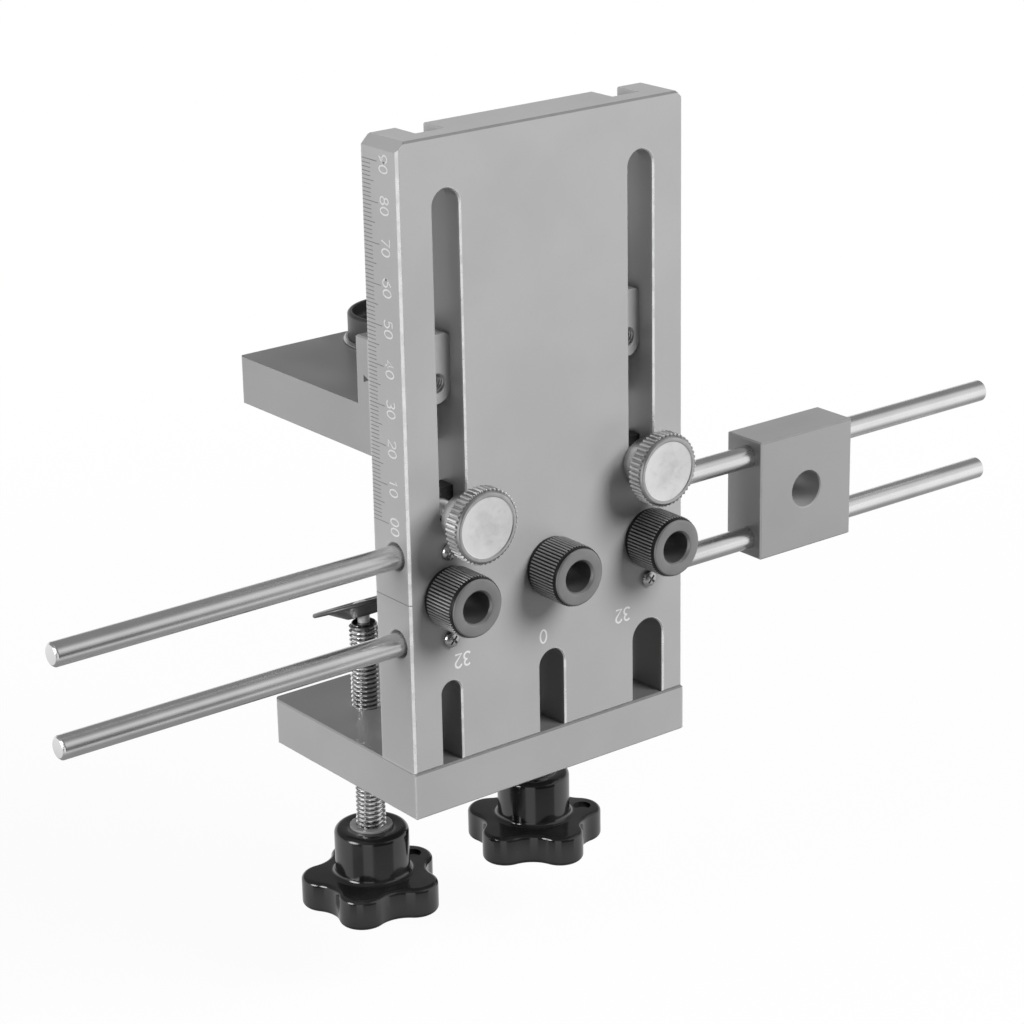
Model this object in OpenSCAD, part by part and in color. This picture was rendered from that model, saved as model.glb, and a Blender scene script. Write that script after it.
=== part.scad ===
// Dowel drilling jig: a body plate with drill bushes, a sliding fence, an index block on two rods,
// and a base plate with two clamp screws.
// X runs to the right, Y to the rear, Z up. The origin is on the axis of the centre bush, in the
// rear face of the body plate, which is the face that meets the end of the panel.

/* [Body plate] */
// Width of the body plate
body_w = 88; // [84:1:110]
// Thickness of the body plate
body_t = 14; // [13:0.5:20]
// Height of the body plate above the bush axis
body_above = 115; // [100:1:140]
// Depth of the body plate below the bush axis
body_below = 45; // [40:1:60]
// Bevel across the two top corners
corner_bevel = 2.4; // [0.5:0.1:6]
// Bevel along the two upright front edges
front_bevel = 0.8; // [0.2:0.1:1.5]
// Fine bevel along the other edges of the plates
edge_bevel = 0.4; // [0.1:0.1:0.8]

/* [Guide slots] */
// Distance from the middle plane to each guide slot
slot_x = 30; // [27:0.5:33]
// Width of the guide slots
slot_w = 8; // [6:0.1:9]
// Width of the rear grooves behind the slots
groove_w = 8.6; // [8.2:0.1:10]
// Thickness of the web that is left in front of the grooves
web_t = 5.5; // [4:0.1:6.5]
// Height of the lower round centre of the slots
slot_low = 21; // [20:0.5:30]
// Height of the upper round centre of the slots
slot_high = 98; // [85:1:105]

/* [Sighting windows] */
// Height of the window tops, below the bush axis
window_top = -23; // [-30:0.5:-18]
// Width of the left window
left_window_w = 6; // [4:0.5:8]
// Width of the middle window
middle_window_w = 8; // [4:0.5:12]
// Width of the right window
right_window_w = 10; // [4:0.5:12]

/* [Drill bushes] */
// Spacing of the bushes
bush_pitch = 32; // [28:0.5:36]
// Bore of the bushes
bush_bore = 8; // [5:0.5:10]
// Diameter over the knurl
bush_head_d = 16; // [13:0.5:18]
// Length that stands in front of the body plate
bush_head_l = 11.5; // [6:0.5:20]
// Diameter of the shank in the body plate
bush_shank_d = 12; // [11:0.5:12.5]
// Number of ridges in the knurl
bush_ridges = 56; // [30:1:70]

/* [Guide rods] */
// Diameter of the rods
rod_d = 6; // [4:0.5:6.5]
// Length of the rods
rod_l = 300; // [250:5:400]
// Distance that the rods stand out at the left of the body's middle
rod_left = 140; // [100:5:180]
// Height of each rod above or below the bush axis
rod_z = 11.5; // [11:0.25:13]
// Distance from the front face to the rod axes
rod_depth = 5.5; // [5:0.25:7]

/* [Rod lock screws] */
// Thread diameter of the lock screws
lock_d = 3; // [2:0.5:4]
// Head diameter of the lock screws
lock_head_d = 4.4; // [3.5:0.1:5]
// Head height of the lock screws
lock_head_h = 1.5; // [1:0.1:2.5]

/* [Index block] */
// Width and height of the index block
block_w = 33; // [30:1:44]
// Thickness of the index block
block_t = 13.5; // [11:0.5:18]
// Distance from the middle plane to the index hole
block_x = 88; // [70:1:110]
// Diameter of the index hole
index_bore = 10; // [6:0.5:12]

/* [Fence] */
// Height of the underside of the fence above the bush axis
fence_z = 35; // [32:1:60]
// Thickness of the fence plate
fence_t = 12.6; // [8:0.2:15]
// Reach of the fence behind the body plate
fence_l = 58; // [58:1:80]
// Height of the fence's leg
leg_h = 30; // [26:1:40]
// Thickness of the fence's leg
leg_t = 5; // [4:0.5:8]
// Rounding of the fence's rear corners
fence_r = 2; // [1:0.5:8]
// Width of the keys in the grooves
key_w = 8.2; // [7:0.1:8.4]
// Height of the tapped hole in each key above the fence's underside
key_hole_z = 17.8; // [16:0.1:20]
// Height of the key screws above the fence's underside
key_screw_z = 25; // [24:0.5:26]
// Thread diameter of the key screws
key_screw_d = 4; // [3:0.5:4]

/* [Cam bush] */
// Distance from the middle plane to the cam bush
cam_x = -3.5; // [-10:0.5:10]
// Distance from the body plate's rear face to the cam bush
cam_y = 42.5; // [24:0.5:42.5]
// Bore of the cam bush
cam_bore = 15; // [12:0.5:16]
// Diameter of the cam bush in the fence
cam_shank_d = 20; // [18:0.5:24]
// Diameter of the cam bush above the fence
cam_head_d = 28; // [26:0.5:29]
// Height of the cam bush above the fence
cam_head_h = 8.1; // [6:0.1:14]
// Depth of the stop recess in the top of the cam bush
cam_recess = 3.8; // [2:0.1:5]
// Wall around the stop recess
cam_wall = 1.3; // [1:0.1:2]
// Width of the ring around the cam bush
ring_w = 1.2; // [0.8:0.1:3]
// Height of the ring
ring_h = 1.3; // [0.8:0.1:3]

/* [Thumb screws] */
// Diameter over the knurl of the thumb screws
thumb_d = 19.4; // [15:0.2:22]
// Thickness of the knurled head
thumb_h = 4.8; // [3:0.2:8]
// Diameter of the collar
thumb_collar_d = 13; // [11:0.5:14]
// Length of the collar
thumb_collar_l = 5.8; // [4:0.2:10]
// Thread diameter of the thumb screws
thumb_thread_d = 5; // [4:0.5:6]
// Length of the threaded shank
thumb_thread_l = 12; // [11:0.5:13]
// Distance that the left thumb screw is backed off
thumb_back_off = 3; // [0:0.25:4]
// Number of ridges in the knurl
thumb_ridges = 46; // [30:1:60]
// Thickness of the slide nuts
nut_t = 5; // [3:0.5:6]
// Height of the slide nuts above the thumb screw's axis
nut_h = 5; // [3:0.5:5]

/* [Base plate] */
// Thickness of the base plate
base_t = 12.6; // [8:0.2:18]
// Reach of the base plate behind the body plate
base_reach = 50; // [47:1:80]
// Rounding of the base plate's rear corners
base_r = 3; // [1:0.5:8]
// Distance from the middle plane to each fixing screw
fixing_x = 16; // [12:0.5:20]
// Thread diameter of the fixing screws
fixing_d = 5; // [4:1:6]

/* [Clamps] */
// Distance from the middle plane to each clamp screw
clamp_x = 27.5; // [24:0.5:30]
// Distance from the body plate's rear face to the clamp screws
clamp_y = 30; // [22:0.5:34]
// Thread diameter of the clamp screws
clamp_d = 8; // [6:0.5:10]
// Height of the threaded end of the clamp screws
clamp_end_z = -21.5; // [-24:0.5:-18]
// Length of the clamp screws from the threaded end to the end in the knob
clamp_l = 73.5; // [70:0.5:90]
// Diameter of the swivel feet
foot_d = 26; // [20:0.5:28]
// Diameter of the dish in the feet
foot_dish_d = 18.4; // [14:0.2:19]
// Depth of the dish in the feet
foot_dish_h = 2.8; // [1.5:0.1:4]
// Sheet thickness of the feet
foot_t = 1.1; // [0.8:0.1:1.6]
// Tilt of the feet
foot_tilt = 24; // [0:1:24]

/* [Star knobs] */
// Diameter over the lobes
knob_d = 38.4; // [34:0.2:46]
// Rounding of the lobe ends
lobe_r = 6.4; // [5:0.1:7]
// Rounding of the valleys between the lobes
valley_r = 8; // [7:0.5:12]
// Thickness of the lobes
lobe_h = 8.7; // [6:0.1:12]
// Rounding of the lobes' upper and lower edges
lobe_edge_r = 1.3; // [0.5:0.1:2]
// Diameter of the hub
hub_d = 20; // [16:0.5:22]
// Height of the hub above the lobes
hub_h = 13.3; // [10:0.1:18]
// Diameter of the metal insert's flange
insert_flange_d = 11.4; // [11:0.1:13]
// Diameter of the metal insert
insert_d = 10.4; // [10:0.1:11]
// Turn of the left knob's marked lobe
left_knob_turn = 5.5; // [-90:0.5:90]
// Turn of the right knob's marked lobe
right_knob_turn = -22; // [-90:0.5:90]

/* [Clearances] */
// Radial running clearance of screws and shanks in their holes
screw_gap = 0.05; // [0.02:0.01:0.1]
// Radial running clearance of the rods in their holes
rod_gap = 0.05; // [0.02:0.01:0.1]
// Gap between the lock screws' ends and the rods
lock_gap = 0.1; // [0.05:0.05:0.3]
// Gap between the keys or nuts and the web in front of them
key_gap = 0.1; // [0.05:0.05:0.3]
// Side clearance of the slide nuts in the grooves
nut_gap = 0.1; // [0.05:0.05:0.2]

/* [Hidden] */
$fn = 64;
over = 1; // reach of every cutter past the face that it cuts
joint = 0.1; // depth to which the parts of one solid run into each other
front_y = -body_t;
web_y = front_y + web_t;
body_h = body_above + body_below;
rod_y = front_y + rod_depth;
base_top = -body_below;
base_low = base_top - base_t;
fence_top = fence_z + fence_t;
leg_top = fence_z + leg_h;
slot_bevel = 0.35;
window_bevel = 0.35;
hole_bevel = 0.8;
bore_bevel = 0.6;
index_bevel = 0.3;
ridge_h = 0.35;
bush_edge = 0.5;
bush_flat = 1.1;
thumb_ridge_h = 0.55;
thumb_edge = 0.5;
thumb_step = 0.6;
thread_end = 0.6;
rod_end = 0.6;
cam_edge = 0.6;
clamp_chamfer = 1;
key_corner = 1.4;
clamp_low = clamp_end_z - clamp_l;
pivot_rise = 2.1;
pivot_z = clamp_end_z + pivot_rise;
neck_d = 3.2;
rivet_head_d = 5.8;
rivet_head_h = 1.4;
rivet_under = 2;
foot_hole_d = 4.4;
foot_floor_d = 8.6;
insert_l = 15.5;
insert_top = clamp_low + insert_l;
insert_flange_h = 1;
insert_proud = 0.5;
hub_top = insert_top - insert_proud;
lobe_top = hub_top - hub_h;
lobe_circle = knob_d / 2 - lobe_r;
hub_edge_r = 1.8;
hub_foot_r = 1.5;
seat_r = hub_d / 2 - 2;
mark_r = 2.4;
mark_x = lobe_circle + 1.3;
mark_deep = 0.8;
fixing_head_d = 8.5;
fixing_head_h = 5;
fixing_deep = 12;
fixing_spare = 1;
fixing_pocket = 6;
fixing_socket_w = 4;
key_socket_w = 2.5;
key_hole_end = 2;
key_screw_end = 3;
pocket_gap = 0.4;
screw_edge = 0.3;
cross_deep = 0.85;
cross_w = 0.55;
foot_edge = 0.3;
foot_slant = 0.8;

aluminium = "#b9bab9";
dark_steel = "#6f706f";
bright_steel = "#c9c9c7";
black_plastic = "#1c1c1d";

// Child outline drawn in Y and Z, carried along X between two places.
module along_x(x0, x1) {
    translate([x0, 0, 0]) rotate([90, 0, 90]) linear_extrude(x1 - x0) children();
}

// Child outline drawn in X and Z, carried along Y between two places.
module along_y(y0, y1) {
    translate([0, y1, 0]) rotate([90, 0, 0]) linear_extrude(y1 - y0) children();
}

// Round bar or hole along Y.
module round_y(x, z, y0, y1, d0, d1) {
    translate([x, y0, z]) rotate([-90, 0, 0]) cylinder(h = y1 - y0, d1 = d0, d2 = d1);
}

// Round bar or hole along X.
module round_x(y, z, x0, x1, d0, d1) {
    translate([x0, y, z]) rotate([0, 90, 0]) cylinder(h = x1 - x0, d1 = d0, d2 = d1);
}

// Rectangle with its four corners bevelled.
module bevelled(x0, z0, x1, z1, c) {
    polygon([
        [x0 + c, z0], [x1 - c, z0], [x1, z0 + c], [x1, z1 - c],
        [x1 - c, z1], [x0 + c, z1], [x0, z1 - c], [x0, z0 + c]
    ]);
}

// Upright slot outline with round ends, between two round centres.
module slot_outline(x, w, z0, z1) {
    translate([x - w / 2, z0]) square([w, z1 - z0]);
    translate([x, z0]) circle(d = w);
    translate([x, z1]) circle(d = w);
}

// Cutter for a slot through the front face, with a bevelled mouth.
module slot_cutter(x, w, z0, z1, c, y_end) {
    along_y(front_y - over, y_end) slot_outline(x, w, z0, z1);
    translate([x, front_y, z0]) linear_extrude(z1 - z0)
        polygon([[-w / 2 - c, 0], [w / 2 + c, 0], [w / 2, c], [-w / 2, c]]);
    for (z = [z0, z1]) round_y(x, z, front_y, front_y + c, w + 2 * c, w);
}

// Outline of a straight knurl: ridges with flat tips, all in one plane.
module knurl_outline(d, depth, ridges) {
    step = 360 / ridges;
    polygon([for (i = [0 : ridges - 1], p = [[0, 0], [0.2, 1], [0.5, 1], [0.7, 0]])
        let (a = (i + p[0]) * step, r = d / 2 - depth * (1 - p[1])) [r * cos(a), r * sin(a)]]);
}

// Plain screw with a socket in its head, along +Z from the head's top at z = 0 downwards.
module socket_screw(d, l, head_d, head_h, socket_w) {
    difference() {
        union() {
            translate([0, 0, -head_h]) cylinder(h = head_h - screw_edge, d = head_d);
            translate([0, 0, -screw_edge]) cylinder(h = screw_edge, d1 = head_d, d2 = head_d - 2 * screw_edge);
            translate([0, 0, -head_h - l]) cylinder(h = l + joint, d = d);
        }
        translate([0, 0, -head_h * 0.6]) cylinder(h = head_h, d = socket_w / cos(30), $fn = 6);
    }
}

module body_outline() {
    half = body_w / 2;
    groove = groove_w / 2;
    c = front_bevel;
    polygon([
        [-half + c, front_y], [half - c, front_y], [half, front_y + c], [half, 0],
        [slot_x + groove, 0], [slot_x - groove, 0],
        [-slot_x + groove, 0], [-slot_x - groove, 0], [-half, 0], [-half, front_y + c]
    ]);
}

module body_front() {
    half = body_w / 2;
    c = corner_bevel;
    polygon([
        [-half, base_top], [half, base_top], [half, body_above - c], [half - c, body_above],
        [-half + c, body_above], [-half, body_above - c]
    ]);
}

module body_side() {
    e = edge_bevel;
    polygon([
        [front_y, base_top + e], [front_y + e, base_top], [0, base_top], [0, body_above - e],
        [-e, body_above], [front_y + e, body_above], [front_y, body_above - e]
    ]);
}

module window_cutter(x, w) {
    low = base_top - over;
    high = window_top - w / 2;
    c = window_bevel;
    along_y(front_y - over, over) {
        translate([x - w / 2, low]) square([w, high - low]);
        translate([x, high]) circle(d = w);
    }
    translate([x, front_y, low]) linear_extrude(high - low)
        polygon([[-w / 2 - c, 0], [w / 2 + c, 0], [w / 2, c], [-w / 2, c]]);
    round_y(x, high, front_y, front_y + c, w + 2 * c, w);
}

module body_plate() {
    color(aluminium) difference() {
        intersection() {
            translate([0, 0, base_top]) linear_extrude(body_h) body_outline();
            along_y(front_y, 0) body_front();
            along_x(-body_w / 2, body_w / 2) body_side();
        }
        for (side = [-1, 1]) {
            slot_cutter(side * slot_x, slot_w, slot_low, slot_high, slot_bevel, over);
            along_y(web_y, over) {
                translate([side * slot_x, slot_low]) circle(d = groove_w);
                translate([side * slot_x - groove_w / 2, slot_low])
                    square([groove_w, body_above - slot_low + over]);
            }
        }
        window_cutter(-bush_pitch, left_window_w);
        window_cutter(0, middle_window_w);
        window_cutter(bush_pitch, right_window_w);
        for (x = [-bush_pitch, 0, bush_pitch])
            round_y(x, 0, front_y - over, over, bush_shank_d + 2 * screw_gap, bush_shank_d + 2 * screw_gap);
        for (z = [-rod_z, rod_z]) {
            hole = rod_d + 2 * rod_gap;
            round_x(rod_y, z, -body_w / 2 - over, body_w / 2 + over, hole, hole);
            round_x(rod_y, z, -body_w / 2, -body_w / 2 + hole_bevel, hole + 2 * hole_bevel, hole);
            round_x(rod_y, z, body_w / 2 - hole_bevel, body_w / 2, hole, hole + 2 * hole_bevel);
            for (x = [-bush_pitch, bush_pitch])
                round_y(x, z, front_y - over, rod_y, lock_d + 2 * screw_gap, lock_d + 2 * screw_gap);
        }
        for (x = [-fixing_x, fixing_x])
            translate([x, front_y / 2, base_top - over])
                cylinder(h = fixing_deep + fixing_spare + over, d = fixing_d + 2 * screw_gap);
    }
}

module base_outline() {
    half = body_w / 2;
    r = base_r;
    translate([-half, front_y]) square([body_w, body_t + base_reach - r]);
    translate([-half + r, 0]) square([body_w - 2 * r, base_reach]);
    for (x = [-half + r, half - r]) translate([x, base_reach - r]) circle(r = r);
}

module base_plate() {
    half = body_w / 2;
    color(aluminium) difference() {
        intersection() {
            translate([0, 0, base_low]) linear_extrude(base_t) base_outline();
            along_x(-half, half) bevelled(front_y, base_low, base_reach, base_top, edge_bevel);
            along_y(front_y, base_reach) bevelled(-half, base_low, half, base_top, edge_bevel);
        }
        for (x = [-clamp_x, clamp_x]) translate([x, clamp_y, base_low - over])
            cylinder(h = base_t + 2 * over, d = clamp_d + 2 * screw_gap);
        for (x = [-fixing_x, fixing_x]) translate([x, front_y / 2, base_low - over]) {
            cylinder(h = base_t + 2 * over, d = fixing_d + 2 * screw_gap);
            cylinder(h = fixing_pocket + over, d = fixing_head_d + 2 * pocket_gap);
        }
    }
}

module base_fixing_screws() {
    thread = fixing_deep + base_t - fixing_pocket;
    color(dark_steel) for (x = [-fixing_x, fixing_x])
        translate([x, front_y / 2, base_low + fixing_pocket - fixing_head_h])
            rotate([180, 0, 0]) socket_screw(fixing_d, thread, fixing_head_d, fixing_head_h, fixing_socket_w);
}

module drill_bush(x) {
    front = front_y - bush_head_l;
    root = bush_head_d - 2 * ridge_h;
    color(dark_steel) difference() {
        union() {
            round_y(x, 0, front, front + bush_edge, root - 2 * bush_edge, root);
            round_y(x, 0, front + bush_edge, front_y, root, root);
            along_y(front + bush_flat, front_y - bush_flat) translate([x, 0])
                knurl_outline(bush_head_d, ridge_h, bush_ridges);
            round_y(x, 0, front_y - joint, 0, bush_shank_d, bush_shank_d);
        }
        round_y(x, 0, front - over, over, bush_bore, bush_bore);
        round_y(x, 0, front, front + bore_bevel, bush_bore + 2 * bore_bevel, bush_bore);
    }
}

module left_drill_bush() { drill_bush(-bush_pitch); }
module centre_drill_bush() { drill_bush(0); }
module right_drill_bush() { drill_bush(bush_pitch); }

// Pan-head screw with a crossed recess, whose end stops just short of the rod.
module lock_screw(x, z) {
    reach = rod_depth - rod_d / 2 - lock_gap;
    color(bright_steel) difference() {
        translate([x, front_y, z]) rotate([90, 0, 0]) union() {
            rotate_extrude() polygon([
                [0, 0], [lock_head_d / 2, 0], [lock_head_d / 2, lock_head_h * 0.4],
                [lock_head_d * 0.45, lock_head_h * 0.7], [lock_head_d * 0.32, lock_head_h * 0.93],
                [lock_head_d * 0.18, lock_head_h], [0, lock_head_h]
            ]);
            translate([0, 0, -reach]) cylinder(h = reach + joint, d = lock_d);
        }
        translate([x, front_y - lock_head_h, z]) for (turn = [45, 135])
            rotate([0, turn, 0]) cube([lock_head_d * 0.58, 2 * cross_deep, cross_w], center = true);
    }
}

module upper_left_lock_screw() { lock_screw(-bush_pitch, rod_z); }
module lower_left_lock_screw() { lock_screw(-bush_pitch, -rod_z); }
module upper_right_lock_screw() { lock_screw(bush_pitch, rod_z); }
module lower_right_lock_screw() { lock_screw(bush_pitch, -rod_z); }

module guide_rod(z) {
    c = rod_end;
    color(bright_steel) translate([-rod_left, rod_y, z]) rotate([0, 90, 0]) rotate_extrude()
        polygon([
            [0, 0], [rod_d / 2 - c, 0], [rod_d / 2, c], [rod_d / 2, rod_l - c],
            [rod_d / 2 - c, rod_l], [0, rod_l]
        ]);
}

module upper_guide_rod() { guide_rod(rod_z); }
module lower_guide_rod() { guide_rod(-rod_z); }

module index_block() {
    half = block_w / 2;
    e = edge_bevel;
    back = front_y + block_t;
    hole = rod_d + 2 * rod_gap;
    color(aluminium) difference() {
        intersection() {
            along_y(front_y, back) bevelled(block_x - half, -half, block_x + half, half, e);
            along_x(block_x - half, block_x + half) bevelled(front_y, -half, back, half, e);
            translate([0, 0, -half]) linear_extrude(block_w)
                bevelled(block_x - half, front_y, block_x + half, back, e);
        }
        round_y(block_x, 0, front_y - over, back + over, index_bore, index_bore);
        round_y(block_x, 0, front_y, front_y + index_bevel, index_bore + 2 * index_bevel, index_bore);
        for (z = [-rod_z, rod_z])
            round_x(rod_y, z, block_x - half - over, block_x + half + over, hole, hole);
    }
}

// Side outline of the fence: the plate, with the leg that slides on the body's rear face.
module fence_side() {
    e = edge_bevel;
    polygon([
        [0, fence_z + e], [e, fence_z], [fence_l - e, fence_z], [fence_l, fence_z + e],
        [fence_l, fence_top - e], [fence_l - e, fence_top], [leg_t, fence_top],
        [leg_t, leg_top - e], [leg_t - e, leg_top], [e, leg_top], [0, leg_top - e]
    ]);
}

module fence_outline() {
    half = body_w / 2;
    r = fence_r;
    translate([-half, 0]) square([body_w, fence_l - r]);
    translate([-half + r, 0]) square([body_w - 2 * r, fence_l]);
    for (x = [-half + r, half - r]) translate([x, fence_l - r]) circle(r = r);
}

module fence() {
    half = body_w / 2;
    color(aluminium) difference() {
        intersection() {
            along_x(-half, half) fence_side();
            translate([0, 0, fence_z]) linear_extrude(leg_h) fence_outline();
            along_y(0, fence_l) bevelled(-half, fence_z, half, leg_top, edge_bevel);
        }
        translate([cam_x, cam_y, fence_z - over])
            cylinder(h = fence_t + 2 * over, d = cam_shank_d + 2 * screw_gap);
        for (x = [-slot_x, slot_x]) {
            hole = key_screw_d + 2 * screw_gap;
            z = fence_z + key_screw_z;
            round_y(x, z, -over, leg_t + over, hole, hole);
            round_y(x, z, leg_t - key_screw_d / 2, leg_t, hole, hole + key_screw_d);
        }
    }
}

// Tongue that guides the fence in a groove: round at its lower end, with a tapped hole.
module fence_key(side) {
    x = side * slot_x;
    r = key_w / 2;
    low = fence_top;
    corner = key_corner;
    color(aluminium) difference() {
        along_y(web_y + key_gap, 0) {
            translate([x, low + r]) circle(r = r);
            translate([x - r, low + r]) square([key_w, leg_top - low - r - corner]);
            translate([x - r + corner, low + r]) square([key_w - 2 * corner, leg_top - low - r]);
            for (s = [-1, 1]) translate([x + s * (r - corner), leg_top - corner]) circle(r = corner);
        }
        round_y(x, fence_z + key_hole_z, web_y - over, over,
            thumb_thread_d + 2 * screw_gap, thumb_thread_d + 2 * screw_gap);
        round_y(x, fence_z + key_screw_z, web_y + key_hole_end, over,
            key_screw_d + 2 * screw_gap, key_screw_d + 2 * screw_gap);
    }
}

module left_fence_key() { fence_key(-1); }
module right_fence_key() { fence_key(1); }

// Countersunk screws that hold the keys to the leg.
module fence_key_screws() {
    head = 2 * key_screw_d;
    sink = key_screw_d / 2;
    color(dark_steel) for (x = [-slot_x, slot_x]) difference() {
        union() {
            round_y(x, fence_z + key_screw_z, web_y + key_screw_end, leg_t - sink + joint,
                key_screw_d, key_screw_d);
            round_y(x, fence_z + key_screw_z, leg_t - sink, leg_t, key_screw_d, head);
        }
        translate([x, leg_t, fence_z + key_screw_z]) rotate([90, 0, 0])
            cylinder(h = 2 * sink, d = key_socket_w / cos(30), $fn = 6, center = true);
    }
}

// Sleeve for the cam drill: a shank in the fence, and a head with a recess for the drill's stop.
module cam_bush() {
    e = cam_edge;
    color(black_plastic) translate([cam_x, cam_y, 0]) difference() {
        union() {
            translate([0, 0, fence_z]) cylinder(h = fence_t + joint, d = cam_shank_d);
            translate([0, 0, fence_top]) cylinder(h = cam_head_h - e, d = cam_head_d);
            translate([0, 0, fence_top + cam_head_h - e])
                cylinder(h = e, d1 = cam_head_d, d2 = cam_head_d - 2 * e);
        }
        translate([0, 0, fence_z - over]) cylinder(h = fence_t + cam_head_h, d = cam_bore);
        translate([0, 0, fence_top + cam_head_h - cam_recess])
            cylinder(h = cam_recess + over, d = cam_head_d - 2 * cam_wall);
    }
}

module cam_bush_ring() {
    inner = cam_head_d / 2 + screw_gap;
    outer = inner + ring_w;
    color(bright_steel) translate([cam_x, cam_y, fence_top]) rotate_extrude() polygon([
        [inner, 0], [outer, 0], [outer, ring_h * 0.45], [outer - ring_w * 0.5, ring_h], [inner, ring_h]
    ]);
}

// Knurled head, collar and threaded shank, backed off from the front face by a distance.
module thumb_screw(x, back_off) {
    seat = front_y - back_off;
    neck = seat - thumb_collar_l;
    front = neck - thumb_h;
    root = thumb_d - 2 * thumb_ridge_h;
    color(bright_steel) union() {
        round_y(x, slot_low, front, front + thumb_edge, root - 2 * thumb_edge, root);
        round_y(x, slot_low, front + thumb_edge, neck - thumb_edge, root, root);
        round_y(x, slot_low, neck - thumb_edge, neck, root, root - 2 * thumb_edge);
        along_y(front + thumb_edge, neck - thumb_edge) translate([x, slot_low])
            knurl_outline(thumb_d, thumb_ridge_h, thumb_ridges);
        round_y(x, slot_low, neck - joint, seat - thumb_step, thumb_collar_d, thumb_collar_d);
        round_y(x, slot_low, seat - thumb_step, seat, thumb_collar_d, thumb_collar_d - 2 * thumb_step);
        round_y(x, slot_low, seat - joint, seat + thumb_thread_l - thread_end, thumb_thread_d, thumb_thread_d);
        round_y(x, slot_low, seat + thumb_thread_l - thread_end, seat + thumb_thread_l,
            thumb_thread_d, thumb_thread_d - 2 * thread_end);
    }
}

module left_thumb_screw() { thumb_screw(-slot_x, thumb_back_off); }
module right_thumb_screw() { thumb_screw(slot_x, 0); }

// Nut that slides in the groove: its lower end is round, like the end of the groove.
module slide_nut(side) {
    x = side * slot_x;
    half = groove_w / 2 - nut_gap;
    color(dark_steel) difference() {
        along_y(web_y, web_y + nut_t) {
            translate([x, slot_low]) circle(r = half);
            translate([x - half, slot_low]) square([2 * half, nut_h]);
        }
        round_y(x, slot_low, web_y - over, web_y + nut_t + over,
            thumb_thread_d + 2 * screw_gap, thumb_thread_d + 2 * screw_gap);
    }
}

module left_slide_nut() { slide_nut(-1); }
module right_slide_nut() { slide_nut(1); }

module clamp_screw(side) {
    c = clamp_chamfer;
    color(bright_steel) translate([side * clamp_x, clamp_y, clamp_low]) rotate_extrude() polygon([
        [0, 0], [clamp_d / 2, 0], [clamp_d / 2, clamp_l - c], [clamp_d / 2 - c, clamp_l], [0, clamp_l]
    ]);
}

// Threaded metal insert moulded into the hub, with a thin flange on top.
module knob_insert(side) {
    color(bright_steel) translate([side * clamp_x, clamp_y, 0]) difference() {
        union() {
            translate([0, 0, insert_top - insert_flange_h])
                cylinder(h = insert_flange_h, d = insert_flange_d);
            translate([0, 0, clamp_low]) cylinder(h = insert_top - clamp_low, d = insert_d);
        }
        translate([0, 0, clamp_low - over])
            cylinder(h = insert_top - clamp_low + 2 * over, d = clamp_d);
    }
}

// Points of the five-lobed outline at one height, drawn in by an inset. Each lobe end is an arc, and
// each valley an arc that touches the two lobes beside it.
function star_ring(inset, z) =
    let (
        lobe = lobe_r - inset,
        valley = valley_r + inset,
        half_gap = lobe_circle * sin(36),
        valley_circle = lobe_circle * cos(36) + sqrt(pow(lobe_r + valley_r, 2) - pow(half_gap, 2)),
        sweep = 126 - acos(half_gap / (lobe_r + valley_r)),
        lean = 90 - acos(half_gap / (lobe_r + valley_r))
    )
    [for (k = [0 : 4], part = [0, 1], i = [0 : (part == 0 ? 9 : 6)])
        part == 0
            ? let (a = 72 * k - sweep + 2 * sweep * i / 9)
                [lobe_circle * cos(72 * k) + lobe * cos(a), lobe_circle * sin(72 * k) + lobe * sin(a), z]
            : let (m = 72 * k + 36, a = m + 180 + lean - 2 * lean * (i + 1) / 8)
                [valley_circle * cos(m) + valley * cos(a), valley_circle * sin(m) + valley * sin(a), z]];

// Five-lobed body with rounded upper and lower edges. Its flat top runs in to a ring under the hub.
module star_body() {
    steps = 4;
    levels = concat(
        [for (i = [0 : steps]) let (a = 90 * i / steps)
            [lobe_edge_r * (1 - sin(a)), -lobe_h + lobe_edge_r * (1 - cos(a))]],
        [for (i = [0 : steps]) let (a = 90 * i / steps)
            [lobe_edge_r * (1 - cos(a)), -lobe_edge_r * (1 - sin(a))]]
    );
    outer_rings = [for (level = levels) star_ring(level[0], level[1])];
    rim = outer_rings[len(outer_rings) - 1];
    seat = [for (p = rim) [p[0], p[1], 0] * seat_r / norm([p[0], p[1]])];
    rings = concat(outer_rings, [seat]);
    n = len(seat);
    last = len(rings) - 1;
    polyhedron(
        points = [for (ring = rings, p = ring) p],
        faces = concat(
            [[for (i = [0 : n - 1]) i]],
            [for (k = [0 : last - 1], i = [0 : n - 1])
                [k * n + i, (k + 1) * n + i, (k + 1) * n + (i + 1) % n, k * n + (i + 1) % n]],
            [[for (i = [n - 1 : -1 : 0]) last * n + i]]
        )
    );
}

// Hub outline: a round upper edge, straight side and a hollow fillet at its foot.
module hub_outline() {
    r = hub_d / 2;
    e = hub_edge_r;
    f = hub_foot_r;
    polygon(concat(
        [[0, -1], [r + f, -1]],
        [for (i = [0 : 4]) let (a = 90 * i / 4) [r + f - f * sin(a), f - f * cos(a)]],
        [for (i = [0 : 5]) let (a = 90 * i / 5) [r - e + e * cos(a), hub_h - e + e * sin(a)]],
        [[0, hub_h]]
    ));
}

module star_knob(side, turn) {
    color(black_plastic) translate([side * clamp_x, clamp_y, lobe_top]) rotate([0, 0, turn]) difference() {
        union() {
            star_body();
            rotate_extrude() hub_outline();
        }
        translate([0, 0, clamp_low - lobe_top]) cylinder(h = insert_top - clamp_low, d = insert_d);
        translate([0, 0, insert_top - insert_flange_h - lobe_top])
            cylinder(h = insert_flange_h + over, d = insert_flange_d);
        translate([mark_x, 0, -mark_deep]) cylinder(h = 2 * mark_deep, r = mark_r);
    }
}

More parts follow.
